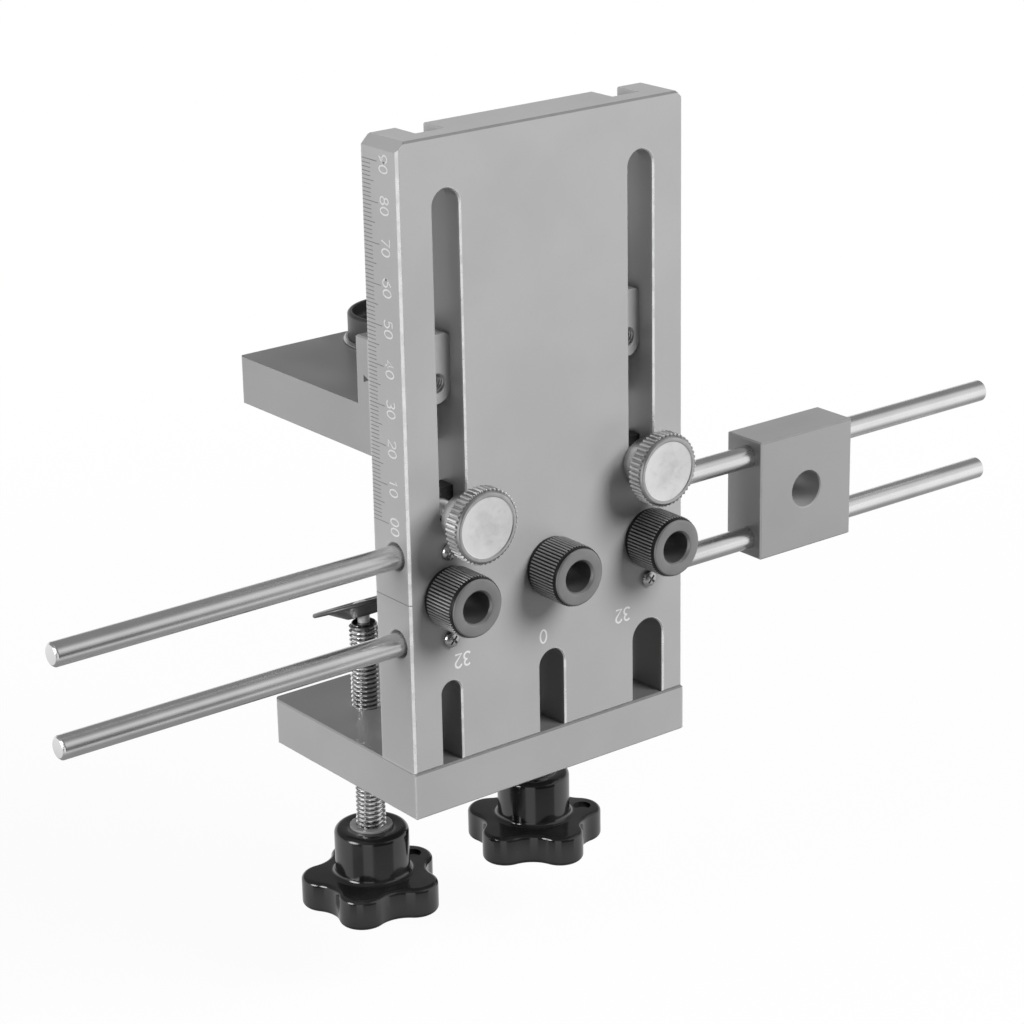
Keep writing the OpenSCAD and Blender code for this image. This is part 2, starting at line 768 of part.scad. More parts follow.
// Dished sheet-metal foot, drawn about its pivot in the floor of the dish, then tilted.
module foot(side) {
    h = foot_t / 2;
    rise = foot_dish_h;
    wall = foot_dish_d / 2;
    color(bright_steel) translate([side * clamp_x, clamp_y, pivot_z]) rotate([-foot_tilt, 0, 0])
        rotate_extrude() polygon([
            [foot_hole_d / 2, -h], [foot_floor_d / 2, -h], [wall, rise - h],
            [foot_d / 2 - foot_edge, rise - h], [foot_d / 2, rise], [foot_d / 2 - foot_edge, rise + h],
            [wall - foot_slant, rise + h], [foot_floor_d / 2 - foot_slant, h], [foot_hole_d / 2, h]
        ]);
}

// Rivet in the end of the clamp screw: a neck through the foot, and a domed head above it.
module foot_rivet(side) {
    neck = pivot_rise + rivet_under;
    r = rivet_head_d / 2;
    color(bright_steel) translate([side * clamp_x, clamp_y, clamp_end_z]) rotate_extrude() polygon(concat(
        [[0, 0], [neck_d / 2, 0], [neck_d / 2, neck], [r, neck]],
        [for (i = [0 : 6]) let (a = 90 * i / 6) [r * cos(a), neck + 0.2 + (rivet_head_h - 0.2) * sin(a)]]
    ));
}

module left_clamp_screw() { clamp_screw(-1); }
module left_star_knob() { star_knob(-1, left_knob_turn); }
module left_knob_insert() { knob_insert(-1); }
module left_foot() { foot(-1); }
module left_foot_rivet() { foot_rivet(-1); }
module right_clamp_screw() { clamp_screw(1); }
module right_star_knob() { star_knob(1, right_knob_turn); }
module right_knob_insert() { knob_insert(1); }
module right_foot() { foot(1); }
module right_foot_rivet() { foot_rivet(1); }

body_plate();
base_plate();
base_fixing_screws();
left_drill_bush();
centre_drill_bush();
right_drill_bush();
upper_left_lock_screw();
lower_left_lock_screw();
upper_right_lock_screw();
lower_right_lock_screw();
upper_guide_rod();
lower_guide_rod();
index_block();
fence();
left_fence_key();
right_fence_key();
fence_key_screws();
cam_bush();
cam_bush_ring();
left_thumb_screw();
right_thumb_screw();
left_slide_nut();
right_slide_nut();
left_clamp_screw();
left_star_knob();
left_knob_insert();
left_foot();
left_foot_rivet();
right_clamp_screw();
right_star_knob();
right_knob_insert();
right_foot();
right_foot_rivet();
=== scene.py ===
"""Dowel drilling jig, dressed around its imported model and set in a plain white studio."""

import logging
import math
from collections.abc import Callable, Sequence
from dataclasses import dataclass, replace
from enum import Enum
from functools import lru_cache

import bpy
import numpy as np
from mathutils import Matrix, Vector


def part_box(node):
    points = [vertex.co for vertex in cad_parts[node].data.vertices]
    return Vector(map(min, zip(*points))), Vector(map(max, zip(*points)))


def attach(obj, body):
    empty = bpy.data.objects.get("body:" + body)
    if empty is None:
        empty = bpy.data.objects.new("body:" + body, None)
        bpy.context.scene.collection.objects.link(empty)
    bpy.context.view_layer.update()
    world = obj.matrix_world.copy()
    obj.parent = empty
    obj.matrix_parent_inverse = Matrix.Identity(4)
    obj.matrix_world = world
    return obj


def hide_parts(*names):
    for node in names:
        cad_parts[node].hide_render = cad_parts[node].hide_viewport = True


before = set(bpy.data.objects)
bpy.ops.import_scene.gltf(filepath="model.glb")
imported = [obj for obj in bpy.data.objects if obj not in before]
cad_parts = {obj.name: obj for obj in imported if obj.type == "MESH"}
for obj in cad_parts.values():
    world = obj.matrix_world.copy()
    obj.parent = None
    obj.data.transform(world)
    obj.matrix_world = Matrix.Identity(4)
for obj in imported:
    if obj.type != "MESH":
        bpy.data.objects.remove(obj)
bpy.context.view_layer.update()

log = logging.getLogger("dowel_jig")
Array = np.ndarray
Shift = Callable[[Array, Array, Array], tuple[Array, Array]]
MM = 0.001
CUT_CREASE = 40.0
INK_PROUD = 0.02
TINY = 1e-9


class Slot(Enum):
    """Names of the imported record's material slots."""

    ANODISED = "anodised_aluminium"
    BUSH = "bush_steel"
    GROUND = "ground_steel"
    PLATED = "plated_steel"
    SLEEVE = "black_sleeve"
    PHENOLIC = "black_phenolic"


class Facing(Enum):
    """Ways that a piece can point, as the unit vectors (across, up, along)."""

    UP = ((1, 0, 0), (0, 1, 0), (0, 0, 1))
    FRONT = ((1, 0, 0), (0, 0, 1), (0, -1, 0))
    FRONT_UPSIDE_DOWN = ((-1, 0, 0), (0, 0, -1), (0, -1, 0))
    RIGHT = ((0, 1, 0), (0, 0, 1), (1, 0, 0))
    LEFT = ((0, 1, 0), (0, 0, 1), (-1, 0, 0))
    LEFT_READ_DOWN = ((0, 0, -1), (0, -1, 0), (-1, 0, 0))

    def at(self, x: float, y: float, z: float) -> "Seat":
        """Seat at a point in millimetres that points this way."""
        return Seat((x, y, z), *self.value)


class Side(Enum):
    """The two sides of the jig, as the sign of X."""

    LEFT = -1
    RIGHT = 1

    @property
    def word(self) -> str:
        """Word that names this side's pieces."""
        return self.name.lower()


# Surfaces


@dataclass(frozen=True)
class Skin:
    """A closed surface in millimetres.

    faces holds groups of faces with the same number of corners. lathe holds, for each point, its
    distance from the piece's axis, its height along the axis, and its wear (1 on an outer edge, -1 in
    an inner corner).
    """

    points: Array
    faces: tuple[Array, ...]
    lathe: Array

    def volume(self) -> float:
        """Signed volume: a sixth of the sum of the corner triangles' triple products."""
        total = 0.0
        for group in self.faces:
            for k in range(1, group.shape[1] - 1):
                a, b, c = (self.points[group[:, i]] for i in (0, k, k + 1))
                total += float(np.einsum("ij,ij->", a, np.cross(b, c))) / 6
        return total

    def outward(self) -> "Skin":
        """The same skin with its faces turned outwards."""
        if self.volume() >= 0:
            return self
        return replace(self, faces=tuple(group[:, ::-1] for group in self.faces))


@dataclass(frozen=True)
class Seat:
    """Where a piece sits: its origin in millimetres and its three unit vectors."""

    origin: tuple[float, float, float]
    across: tuple[float, float, float]
    up: tuple[float, float, float]
    along: tuple[float, float, float]

    def tipped(self, degrees: float) -> "Seat":
        """Seat turned about its across vector.

        Args:
            degrees: The turn, positive from up towards along.

        Returns:
            The turned seat.
        """
        c, s = math.cos(math.radians(degrees)), math.sin(math.radians(degrees))
        up, along = np.array(self.up), np.array(self.along)
        return replace(self, up=tuple(c * up + s * along), along=tuple(c * along - s * up))

    def points(self, across: Array, up: Array, along: Array) -> Array:
        """Places in space of points given by their three distances along the seat's vectors."""
        parts = zip((across, up, along), (self.across, self.up, self.along))
        return np.array(self.origin) + sum(d[..., None] * np.array(v, float) for d, v in parts)


def eased(corners: Sequence[tuple[float, float]], ease: float, closed: bool, steps: int = 4) -> Array:
    """Rounds the corners of a profile.

    Each corner is replaced by a quadratic curve that starts and ends a short way along its two sides.

    Args:
        corners: Points (height along the axis, radius), in order.
        ease: How far along each side a corner's curve starts, in millimetres.
        closed: Whether the profile returns to its first point.
        steps: Segments in each corner's curve.

    Returns:
        Rows of (height, radius, wear), where wear is 1 on an outer corner and -1 in an inner one.
    """
    pts = np.array(corners, float)
    area = float(np.sum(pts[:, 0] * np.roll(pts[:, 1], -1) - np.roll(pts[:, 0], -1) * pts[:, 1]))
    if area > 0:
        pts = pts[::-1]
    rows: list[Array] = []
    for k, here in enumerate(pts):
        before, after = pts[k - 1] - here, pts[(k + 1) % len(pts)] - here
        lengths = np.hypot(*before), np.hypot(*after)
        turn = float(before[1] * after[0] - before[0] * after[1]) / max(lengths[0] * lengths[1], TINY)
        end = not closed and k in (0, len(pts) - 1)
        if end or abs(turn) < 0.05:
            rows.append(np.array([[*here, 0.0]]))
            continue
        reach = min(ease, 0.4 * min(lengths))
        t = np.linspace(0, 1, steps + 1)[:, None]
        first, last = here + before / lengths[0] * reach, here + after / lengths[1] * reach
        curve = (1 - t) ** 2 * first + 2 * t * (1 - t) * here + t**2 * last
        rows.append(np.column_stack([curve, np.full(steps + 1, math.copysign(1.0, turn))]))
    return np.vstack(rows)


def plain_rows(heights: Array, radii: Array | float) -> Array:
    """Profile rows of the given heights and radii, without wear."""
    return np.stack(np.broadcast_arrays(heights, radii, 0.0), axis=-1)


def grid_faces(rows: int, columns: int, wrap_rows: bool) -> Array:
    """Faces of four corners over a grid of points whose columns close on themselves.

    Args:
        rows: Number of rows of points.
        columns: Number of points in each row.
        wrap_rows: Whether the last row joins the first.

    Returns:
        An array of four point numbers for each face.
    """
    i = np.arange(rows if wrap_rows else rows - 1)[:, None]
    j = np.arange(columns)[None, :]
    above, beside = (i + 1) % rows, (j + 1) % columns
    corners = (i * columns + j, i * columns + beside, above * columns + beside, above * columns + j)
    return np.stack(np.broadcast_arrays(*corners), axis=-1).reshape(-1, 4)


def capped_faces(rows: int, columns: int) -> tuple[Array, ...]:
    """Faces over an open grid, with a fan at each end round the two points that follow the grid's own.

    Args:
        rows: Number of rows of the grid.
        columns: Number of points in each row.

    Returns:
        The grid's faces, and those of the two fans.
    """
    count, j = rows * columns, np.arange(columns)
    first, last = np.full(columns, count), np.full(columns, count + 1)
    end = count - columns + j
    fans = np.stack([first, (j + 1) % columns, j], axis=-1), np.stack([last, end, np.roll(end, -1)], axis=-1)
    return grid_faces(rows, columns, False), *fans


def turned(profile: Array, seat: Seat, angles: int | Array, closed: bool, *shifts: Shift) -> Skin:
    """Turns a profile about a seat's axis.

    A point is the seat's origin, plus its height times the axis, plus its radius times
    (cos angle * across + sin angle * up). Each shift first changes the heights and radii.

    Args:
        profile: Rows of (height, radius, wear). An open profile starts and ends on the axis.
        seat: Where the piece sits.
        angles: Number of even steps round the axis, or the angles themselves in radians.
        closed: Whether the profile returns to its first point, as in a ring.
        shifts: Functions of (height, radius, angle) that give the new (height, radius).

    Returns:
        The closed skin.
    """
    turn = np.arange(angles) * 2 * np.pi / angles if isinstance(angles, int) else angles
    body = profile if closed else profile[1:-1]
    height, radius, angle = np.broadcast_arrays(body[:, :1], body[:, 1:2], turn[None, :])
    for shift in shifts:
        height, radius = shift(height, radius, angle)
    points = seat.points(radius * np.cos(angle), radius * np.sin(angle), height).reshape(-1, 3)
    wear = np.broadcast_to(body[:, 2:3], angle.shape)
    lathe = np.stack([radius, height, wear], axis=-1).reshape(-1, 3)
    if closed:
        return Skin(points, (grid_faces(len(body), len(turn), True),), lathe).outward()
    heights, none = np.array([height[0].mean(), height[-1].mean()]), np.zeros(2)
    points = np.vstack([points, seat.points(none, none, heights)])
    lathe = np.vstack([lathe, np.column_stack([none, heights, none])])
    return Skin(points, capped_faces(len(body), len(turn)), lathe).outward()


def joined(skins: Sequence[Skin]) -> Skin:
    """One skin that holds several.

    Args:
        skins: The skins.

    Returns:
        The joined skin.
    """
    starts = np.cumsum([0] + [len(skin.points) for skin in skins[:-1]])
    faces = tuple(group + start for skin, start in zip(skins, starts) for group in skin.faces)
    points, lathe = (np.vstack(parts) for parts in zip(*((skin.points, skin.lathe) for skin in skins)))
    return Skin(points, faces, lathe)


def prism(outline: Array, seat: Seat, low: float, high: float) -> Skin:
    """Straight bar with a flat outline.

    Args:
        outline: Rows of (across, up) in the seat's plane.
        seat: Where the outline lies.
        low: Height of the lower face along the seat's axis.
        high: Height of the upper face.

    Returns:
        The closed skin.
    """
    count = len(outline)
    across, up = np.tile(outline.T, 2)
    along = np.repeat([low, high], count)
    cap = np.arange(count)[None, :]
    faces = (grid_faces(2, count, False), cap[:, ::-1], cap + count)
    return Skin(seat.points(across, up, along), faces, np.zeros((2 * count, 3))).outward()


def boxes(low: Array, high: Array) -> Skin:
    """Many small upright boxes.

    Args:
        low: Lowest corner of each box, one row for each.
        high: Highest corner of each box.

    Returns:
        One skin with eight points and six faces for each box.
    """
    pick = np.array([[i, j, k] for i in (0, 1) for j in (0, 1) for k in (0, 1)])
    points = np.where(pick[None], high[:, None, :], low[:, None, :]).reshape(-1, 3)
    six = np.array([[0, 1, 3, 2], [4, 6, 7, 5], [0, 4, 5, 1], [2, 3, 7, 6], [0, 2, 6, 4], [1, 5, 7, 3]])
    faces = (six[None] + 8 * np.arange(len(low))[:, None, None]).reshape(-1, 4)
    return Skin(points, (faces,), np.zeros((len(points), 3))).outward()


# Shifts: what turns a plain turned surface into a knurl, a thread or a crossed recess


@dataclass(frozen=True)
class Knurl:
    """Straight ridges round a turned piece, with flat tips and sloping ends.

    STEPS are places across one ridge as shares of its width, and RISE its height there as shares of
    its depth.
    """

    ridges: int
    depth: float
    start: float
    end: float
    least_radius: float
    fade: float = 0.3

    STEPS = (0.0, 0.1, 0.2, 0.35, 0.5, 0.6, 0.7, 0.85)
    RISE = (0.0, 0.55, 0.96, 1.0, 0.96, 0.55, 0.0, -0.06)

    def angles(self) -> Array:
        """Angles of the corners of every ridge."""
        ridge = np.arange(self.ridges)[:, None] + np.array(self.STEPS)[None, :]
        return ridge.ravel() * 2 * np.pi / self.ridges

    def stations(self, radius: float) -> list[tuple[float, float]]:
        """Rows of (height, radius) that a profile needs where the ridges start, are whole, and end."""
        heights = (self.start, self.start + self.fade, self.end - self.fade, self.end)
        return [(height, radius) for height in heights]

    def __call__(self, height: Array, radius: Array, angle: Array) -> tuple[Array, Array]:
        """Adds the ridge's rise at each angle, times a weight that fades at the knurl's two ends.

        Args:
            height: Heights along the axis.
            radius: Radii.
            angle: Angles round the axis.

        Returns:
            The new heights and radii.
        """
        phase = np.mod(angle * self.ridges / (2 * np.pi) + TINY, 1.0)
        rise = np.interp(phase, (*self.STEPS, 1.0), (*self.RISE, 0.0))
        heights = [place for place, _ in self.stations(0.0)]
        weight = np.interp(height, heights, (0.0, 1.0, 1.0, 0.0)) * (radius > self.least_radius)
        return height, radius + self.depth * rise * weight


@dataclass(frozen=True)
class Thread:
    """Helical thread cut into a turned piece, or standing in a hole.

    FLAT is the share of the pitch that the flat crest takes, and FLANKS the share of both flanks.
    """

    pitch: float
    crest: float
    depth: float
    start: float
    end: float
    inner: bool = False

    FLAT = 0.14
    FLANKS = 0.6

    def heights(self, per_turn: int) -> Array:
        """Heights of the rows that the thread needs."""
        return np.linspace(self.start, self.end, int((self.end - self.start) / self.pitch * per_turn))

    def __call__(self, height: Array, radius: Array, angle: Array) -> tuple[Array, Array]:
        """Lowers the radius from the crest by the depth, as the height less the turn's lead asks.

        Args:
            height: Heights along the axis.
            radius: Radii.
            angle: Angles round the axis.

        Returns:
            The new heights and radii.
        """
        phase = np.mod(height / self.pitch - angle / (2 * np.pi), 1.0)
        away = 2 * np.abs(phase - 0.5)
        cut = self.depth * np.clip((away - self.FLAT) / self.FLANKS, 0.0, 1.0)
        inside = (height > self.start) & (height < self.end)
        if self.inner:
            return height, np.where(inside & (radius < self.crest), self.crest - self.depth + cut, radius)
        return height, np.where(inside, np.minimum(radius, self.crest - cut), radius)


@dataclass(frozen=True)
class CrossRecess:
    """Crossed driver recess in the top of a small screw head.

    shoal is the share of the depth that is lost at an arm's end, and least_height the share of the
    head's height above which the recess is cut.
    """

    top: float
    depth: float
    half_length: float
    half_width: float
    soft: float = 0.07
    shoal: float = 0.4
    least_height: float = 0.35

    def __call__(self, height: Array, radius: Array, angle: Array) -> tuple[Array, Array]:
        """Sinks the points inside either arm of the cross, less deep towards the arms' ends.

        Args:
            height: Heights along the axis.
            radius: Radii.
            angle: Angles round the axis.

        Returns:
            The new heights and radii.
        """
        sunk = np.zeros_like(radius)
        for turn in (math.pi / 4, 3 * math.pi / 4):
            along = np.abs(radius * np.cos(angle - turn))
            across = np.abs(radius * np.sin(angle - turn))
            arm = np.clip((self.half_width - across) / self.soft, 0, 1)
            arm = arm * np.clip((self.half_length - along) / self.soft, 0, 1)
            sunk = np.maximum(sunk, arm * (1 - self.shoal * along / self.half_length))
        on_top = height > self.top * self.least_height
        return height - self.depth * sunk * on_top, radius


# Shader maths and nodes


def maths(operation: str, flipped: bool = False) -> Callable[..., "Signal"]:
    """Method that sends a signal and any others through one Math node.

    Args:
        operation: The node's operation.
        flipped: Whether the signal comes last, as in a number less a signal.

    Returns:
        The method.
    """

    def method(self: "Signal", *others: "Signal | float") -> "Signal":
        """One Math node on this signal and the others.

        Args:
            others: The node's other values.

        Returns:
            The node's result.
        """
        values = (*others, self) if flipped else (self, *others)
        made = self.bench.node("Math", {"operation": operation}, dict(enumerate(values)))
        return Signal(self.bench, made.outputs[0])

    return method


@dataclass(frozen=True)
class Signal:
    """A number that varies over a surface, carried by a node's socket."""

    bench: "Bench"
    socket: bpy.types.NodeSocket

    __add__ = __radd__ = maths("ADD")
    __sub__, __rsub__ = maths("SUBTRACT"), maths("SUBTRACT", flipped=True)
    __mul__ = __rmul__ = maths("MULTIPLY")
    __truediv__ = maths("DIVIDE")
    __abs__ = maths("ABSOLUTE")
    least, most, root = maths("MINIMUM"), maths("MAXIMUM"), maths("SQRT")

    def ramp(self, start: float, end: float) -> "Signal":
        """Smooth step that is 0 at start and 1 at end.

        Args:
            start: Where the step starts.
            end: Where it ends, above or below the start.

        Returns:
            The step.
        """
        values = {"Value": self, "From Min": start, "From Max": end}
        step = self.bench.node("MapRange", {"interpolation_type": "SMOOTHSTEP"}, values)
        return Signal(self.bench, step.outputs[0])


class Bench:
    """Lays out the nodes of one material or world."""

    def __init__(self, owner: bpy.types.Material | bpy.types.World) -> None:
        """Starts with an empty tree.

        Args:
            owner: The material or world whose node tree is filled.
        """
        owner.use_nodes = True
        self.tree = owner.node_tree
        self.tree.nodes.clear()

    def node(
        self,
        kind: str,
        settings: dict[str, object] | None = None,
        values: dict[str | int, object] | None = None,
    ) -> bpy.types.Node:
        """Makes one node.

        Args:
            kind: Type of the node, without its first word.
            settings: The node's own settings, set first.
            values: A value or a link for each socket, by the socket's name or number.

        Returns:
            The new node.
        """
        made = self.tree.nodes.new("ShaderNode" + kind)
        for key, value in (settings or {}).items():
            setattr(made, key, value)
        for key, value in (values or {}).items():
            link = value.socket if isinstance(value, Signal) else value
            if isinstance(link, bpy.types.NodeSocket):
                self.tree.links.new(link, made.inputs[key])
            else:
                made.inputs[key].default_value = link
        return made

    def split(self, vector: bpy.types.NodeSocket) -> tuple[Signal, ...]:
        """The three parts of a vector."""
        return tuple(Signal(self, part) for part in self.node("SeparateXYZ", None, {0: vector}).outputs)

    def place(self) -> tuple[Signal, ...]:
        """The surface point's X, Y and Z in millimetres."""
        where = self.node("TexCoord").outputs["Object"]
        scaled = self.node("VectorMath", {"operation": "SCALE"}, {0: where, "Scale": 1 / MM})
        return self.split(scaled.outputs[0])

    def lathe(self) -> tuple[Signal, ...]:
        """The surface point's radius, height along its axis, and wear."""
        return self.split(self.node("Attribute", {"attribute_name": "lathe"}).outputs["Vector"])

    def noise(self, size: float, detail: float, stretch: tuple[float, float, float] = (1, 1, 1)) -> Signal:
        """Cloudy pattern over the surface.

        Args:
            size: Size of its features in millimetres.
            detail: Layers of finer detail.
            stretch: How much longer the features are along X, Y and Z.

        Returns:
            The pattern, from 0 to 1.
        """
        where = self.node("TexCoord").outputs["Object"]
        scale = tuple(1 / (size * MM * s) for s in stretch)
        spot = self.node("VectorMath", {"operation": "MULTIPLY"}, {0: where, 1: scale}).outputs[0]
        values = {"Vector": spot, "Scale": 1.0, "Detail": detail, "Roughness": 0.55}
        return Signal(self, self.node("TexNoise", None, values).outputs[0])

    def lines(self, position: Signal, size: float) -> Signal:
        """Uneven fine lines across a position in millimetres, from 0 to 1."""
        values = {"W": position, "Scale": 1 / size, "Detail": 3.0}
        return Signal(self, self.node("TexNoise", {"noise_dimensions": "1D"}, values).outputs[0])

    def blend(self, factor: Signal | float, first: object, second: object) -> bpy.types.NodeSocket:
        """Colour between two colours."""
        settings = {"data_type": "RGBA", "clamp_factor": True}
        return self.node("Mix", settings, {0: factor, 6: first, 7: second}).outputs[2]

    def over(self, colour: object, factor: Signal | float, tone: float) -> bpy.types.NodeSocket:
        """Colour with a grey tone laid over it by a factor."""
        return self.blend(factor, colour, grey(tone))

    def mottled(
        self, cloud: Signal, tone: float, dark: float, light: float, ends: tuple[float, float] = (0.3, 0.7)
    ) -> bpy.types.NodeSocket:
        """Grey tone that a pattern varies between two shares of it, from its low to its high end."""
        return self.over(grey(tone * dark), cloud.ramp(*ends), tone * light)

    def relief(self, height: Signal, depth: float, strength: float) -> bpy.types.NodeSocket:
        """Normal of a fine relief, from its height between 0 and 1 and its depth in millimetres."""
        inputs = {"Height": height, "Distance": depth * MM, "Strength": strength}
        return self.node("Bump", None, inputs).outputs[0]

    def shader(
        self, colour: object, roughness: object, normal: object, metallic: object = 0.0, **more: float
    ) -> bpy.types.NodeSocket:
        """Principled shader.

        Args:
            colour: Its base colour.
            roughness: Its roughness, from 0 to 1.
            normal: Normal of its relief.
            metallic: Share of bare metal.
            more: Constants for its other sockets, by their names.

        Returns:
            The shader's output.
        """
        values = {"Base Color": colour, "Roughness": roughness, "Normal": normal, **more}
        values["Metallic"] = metallic
        return self.node("BsdfPrincipled", None, values).outputs[0]


def grey(level: float) -> tuple[float, float, float, float]:
    """Neutral colour of a linear level."""
    return (level, level, level, 1.0)


# Finishes


@dataclass(frozen=True)
class Finish:
    """Finish of a surface. Each kind lays out its own material."""

    name: str

    def paint(self, bench: Bench) -> bpy.types.NodeSocket:
        """Lays out the nodes and returns the shader's output."""
        raise NotImplementedError

    @lru_cache(maxsize=None)
    def material(self) -> bpy.types.Material:
        """The finish's material, made once."""
        material = bpy.data.materials.new(self.name)
        bench = Bench(material)
        bench.node("OutputMaterial", None, {"Surface": self.paint(bench)})
        return material


@dataclass(frozen=True)
class Mouth:
    """Bevelled mouth of an upright slot in a front face: a band round a line between two centres."""

    x: float
    low: float
    high: float
    radius: float
    bevel: float

    def nearness(self, x: Signal, y: Signal, z: Signal, front: float) -> Signal:
        """1 on the bevel, falling to 0 beside it.

        The distance outside the slot plus the depth behind the front face equals the bevel's size
        all over the bevel.
        """
        return (self.away(x, z) + (y - front)).ramp(self.bevel + 0.16, self.bevel + 0.02)

    def away(self, x: Signal, z: Signal) -> Signal:
        """Distance outside the slot: that from its centre line, less its radius."""
        beyond = (z - self.high).most(self.low - z).most(0.0)
        return hypotenuse(x - self.x, beyond) - self.radius


def hypotenuse(first: Signal, second: Signal) -> Signal:
    """Length of a vector from its two parts."""
    return (first * first + second * second).root()


@dataclass(frozen=True)
class AnodisedAluminium(Finish):
    """Bead-blasted and clear anodised aluminium. Its machined bevels and rubbed edges are painted lighter as
    highlights, and it has painted shade where light is blocked.
    """

    low: tuple[float, float, float]
    high: tuple[float, float, float]
    bevel: float = 0.4
    front_bevel: float = 0.4
    highlit_mouths: tuple[Mouth, ...] = ()
    shaded_mouths: tuple[Mouth, ...] = ()
    rods: tuple[float, float, float] | None = None
    tone: float = 0.5
    bright: float = 0.9
    rubbed: float = 0.12
    front_rubbed: float = 0.35
    dark_top: float = 0.0
    covered: float = 0.0

    def edges(self, x: Signal, y: Signal, z: Signal) -> Signal:
        """Nearness to the piece's bevels and edges, which are painted lighter as highlights.

        On a bevel the distances to its two neighbouring faces add up to the bevel's size, and along
        its middle line they are equal. The upright front bevels and the right sides of the slots get
        the brightest painted highlight, where the light catches them; the other edges get a faint one
        that is partly rubbed wear.

        Args:
            x: The surface point's X in millimetres.
            y: Its Y.
            z: Its Z.

        Returns:
            The nearness, from 0 to 1.
        """
        box = zip((x, y, z), self.low, self.high)
        dx, dy, dz = ((high - low) / 2 - abs(p - (high + low) / 2) for p, low, high in box)
        near = (dx + dy).least(dx + dz).least(dy + dz)
        near = near.ramp(self.bevel + 0.2, self.bevel * 0.98) * self.rubbed
        depth, front = y - self.low[1], self.front_bevel
        upright = (dx + depth).ramp(front + 0.22, front + 0.02)
        middle = abs(dx - depth).ramp(front * 0.95, front * 0.55)
        near = near.most(upright * middle * self.front_rubbed)
        for mouth in self.highlit_mouths:
            right = (x - mouth.x).ramp(0.0, 1.2) * self.front_rubbed
            near = near.most(mouth.nearness(x, y, z, self.low[1]) * right)
        return near

    def shade(self, x: Signal, y: Signal, z: Signal) -> Signal:
        """Painted shade: darker on the top front bevel, the milled window walls, a ring round each rod hole,
        and the top under the body.

        Args:
            x: The surface point's X in millimetres.
            y: Its Y.
            z: Its Z.

        Returns:
            How dark the point is, from 0 to 1.
        """
        depth = y - self.low[1]
        # Painted shade on the top front bevel.
        dark = ((self.high[2] - z) + depth).ramp(self.bevel + 0.22, self.bevel + 0.02) * self.dark_top
        # Painted shade in a ring round each rod hole.
        if self.rods:
            rod_y, rod_z, radius = self.rods
            ring = hypotenuse(y - rod_y, abs(z) - rod_z).ramp(radius + 0.75, radius + 0.45)
            dark = dark.most(ring * 0.75)
        # Painted shade on the top where the body stands over it.
        if self.covered:
            under = (z - self.high[2]).ramp(-0.2, -0.05) * y.ramp(0.3, -0.3) * depth.ramp(0.35, 0.6)
            dark = dark.most(under * self.covered)
        # Painted shade on the window walls.
        for mouth in self.shaded_mouths:
            dark = dark.most(mouth.away(x, z).ramp(0.2, 0.08) * 0.62)
        return dark

    def paint(self, bench: Bench) -> bpy.types.NodeSocket:
        """Lays out the nodes.

        Args:
            bench: Where the nodes are laid out.

        Returns:
            The shader's output.
        """
        cloud, patch = bench.noise(34, 3.0), bench.noise(3.2, 3.0)
        grain, speck = bench.noise(0.22, 2.0), bench.noise(0.9, 4.0)
        x, y, z = bench.place()
        # edge is a painted highlight on the bevels and edges, partly rubbed wear: lighter, more metallic and
        # smoother there.
        edge = self.edges(x, y, z) * (0.72 + 0.28 * patch.ramp(0.3, 0.6))
        colour = bench.mottled(cloud, self.tone, 0.955, 1.035)
        colour = bench.over(colour, speck.ramp(0.58, 0.8) * 0.22, self.tone * 0.8)
        # Painted shade from shade(): the top bevel, window walls, rod holes and the top under the body.
        colour = bench.over(colour, self.shade(x, y, z), self.tone * 0.2)
        return bench.shader(
            bench.over(colour, edge, self.bright),
            0.43 + 0.1 * (grain - 0.5) + 0.05 * (cloud - 0.5) - 0.17 * edge,
            bench.relief(grain * 0.8 + patch * 0.2, 0.012, 0.5),
            0.2 + 0.6 * edge,
        )


@dataclass(frozen=True)
class TurnedSteel(Finish):
    """Steel turned on a lathe: fine rings on faces and shanks, edges lighter as rubbed wear and painted
    highlight, and painted shade in the knurl grooves and inner corners.
    """

    tone: float
    face: float
    metallic: float
    roughness: float
    groove_shade_tone: float
    root_radius: float
    tip_radius: float
    bore_radius: float

    def paint(self, bench: Bench) -> bpy.types.NodeSocket:
        """Lays out the nodes.

        Args:
            bench: Where the nodes are laid out.

        Returns:
            The shader's output.
        """
        radius, height, wear = bench.lathe()
        rings = bench.lines(radius + height, 0.16)
        cloud, mottle = bench.noise(7, 3.0), bench.noise(1.1, 4.0)
        tip = radius.ramp(self.root_radius, self.tip_radius)
        knurled = radius.ramp(self.root_radius - 0.3, self.root_radius - 0.12)
        inside = radius.ramp(self.bore_radius + 0.12, self.bore_radius + 0.03)
        # Painted shade in the knurl grooves, lightening towards the ridge tips.
        side = bench.over(grey(self.groove_shade_tone), tip, self.tone)
        colour = bench.blend(knurled, bench.mottled(cloud, self.face, 0.93, 1.06), side)
        colour = bench.over(colour, inside, self.face * 0.9)
        # Outer edges lighter: rubbed wear and painted highlight.
        rubbed = wear.ramp(0.2, 1.0) * (0.55 + 0.45 * mottle.ramp(0.35, 0.6))
        colour = bench.over(colour, rubbed * 0.35, min(0.85, self.face * 1.5 + 0.1))
        return bench.shader(
            # Painted shade in the inner corners.
            bench.over(colour, wear.ramp(-0.3, -1.0) * 0.6, self.groove_shade_tone * 0.6),
            self.roughness + 0.12 * (mottle - 0.5) + 0.1 * (rings - 0.5),
            bench.relief(rings * 0.6 + mottle * 0.4, 0.006, 0.6),
            self.metallic,
        )


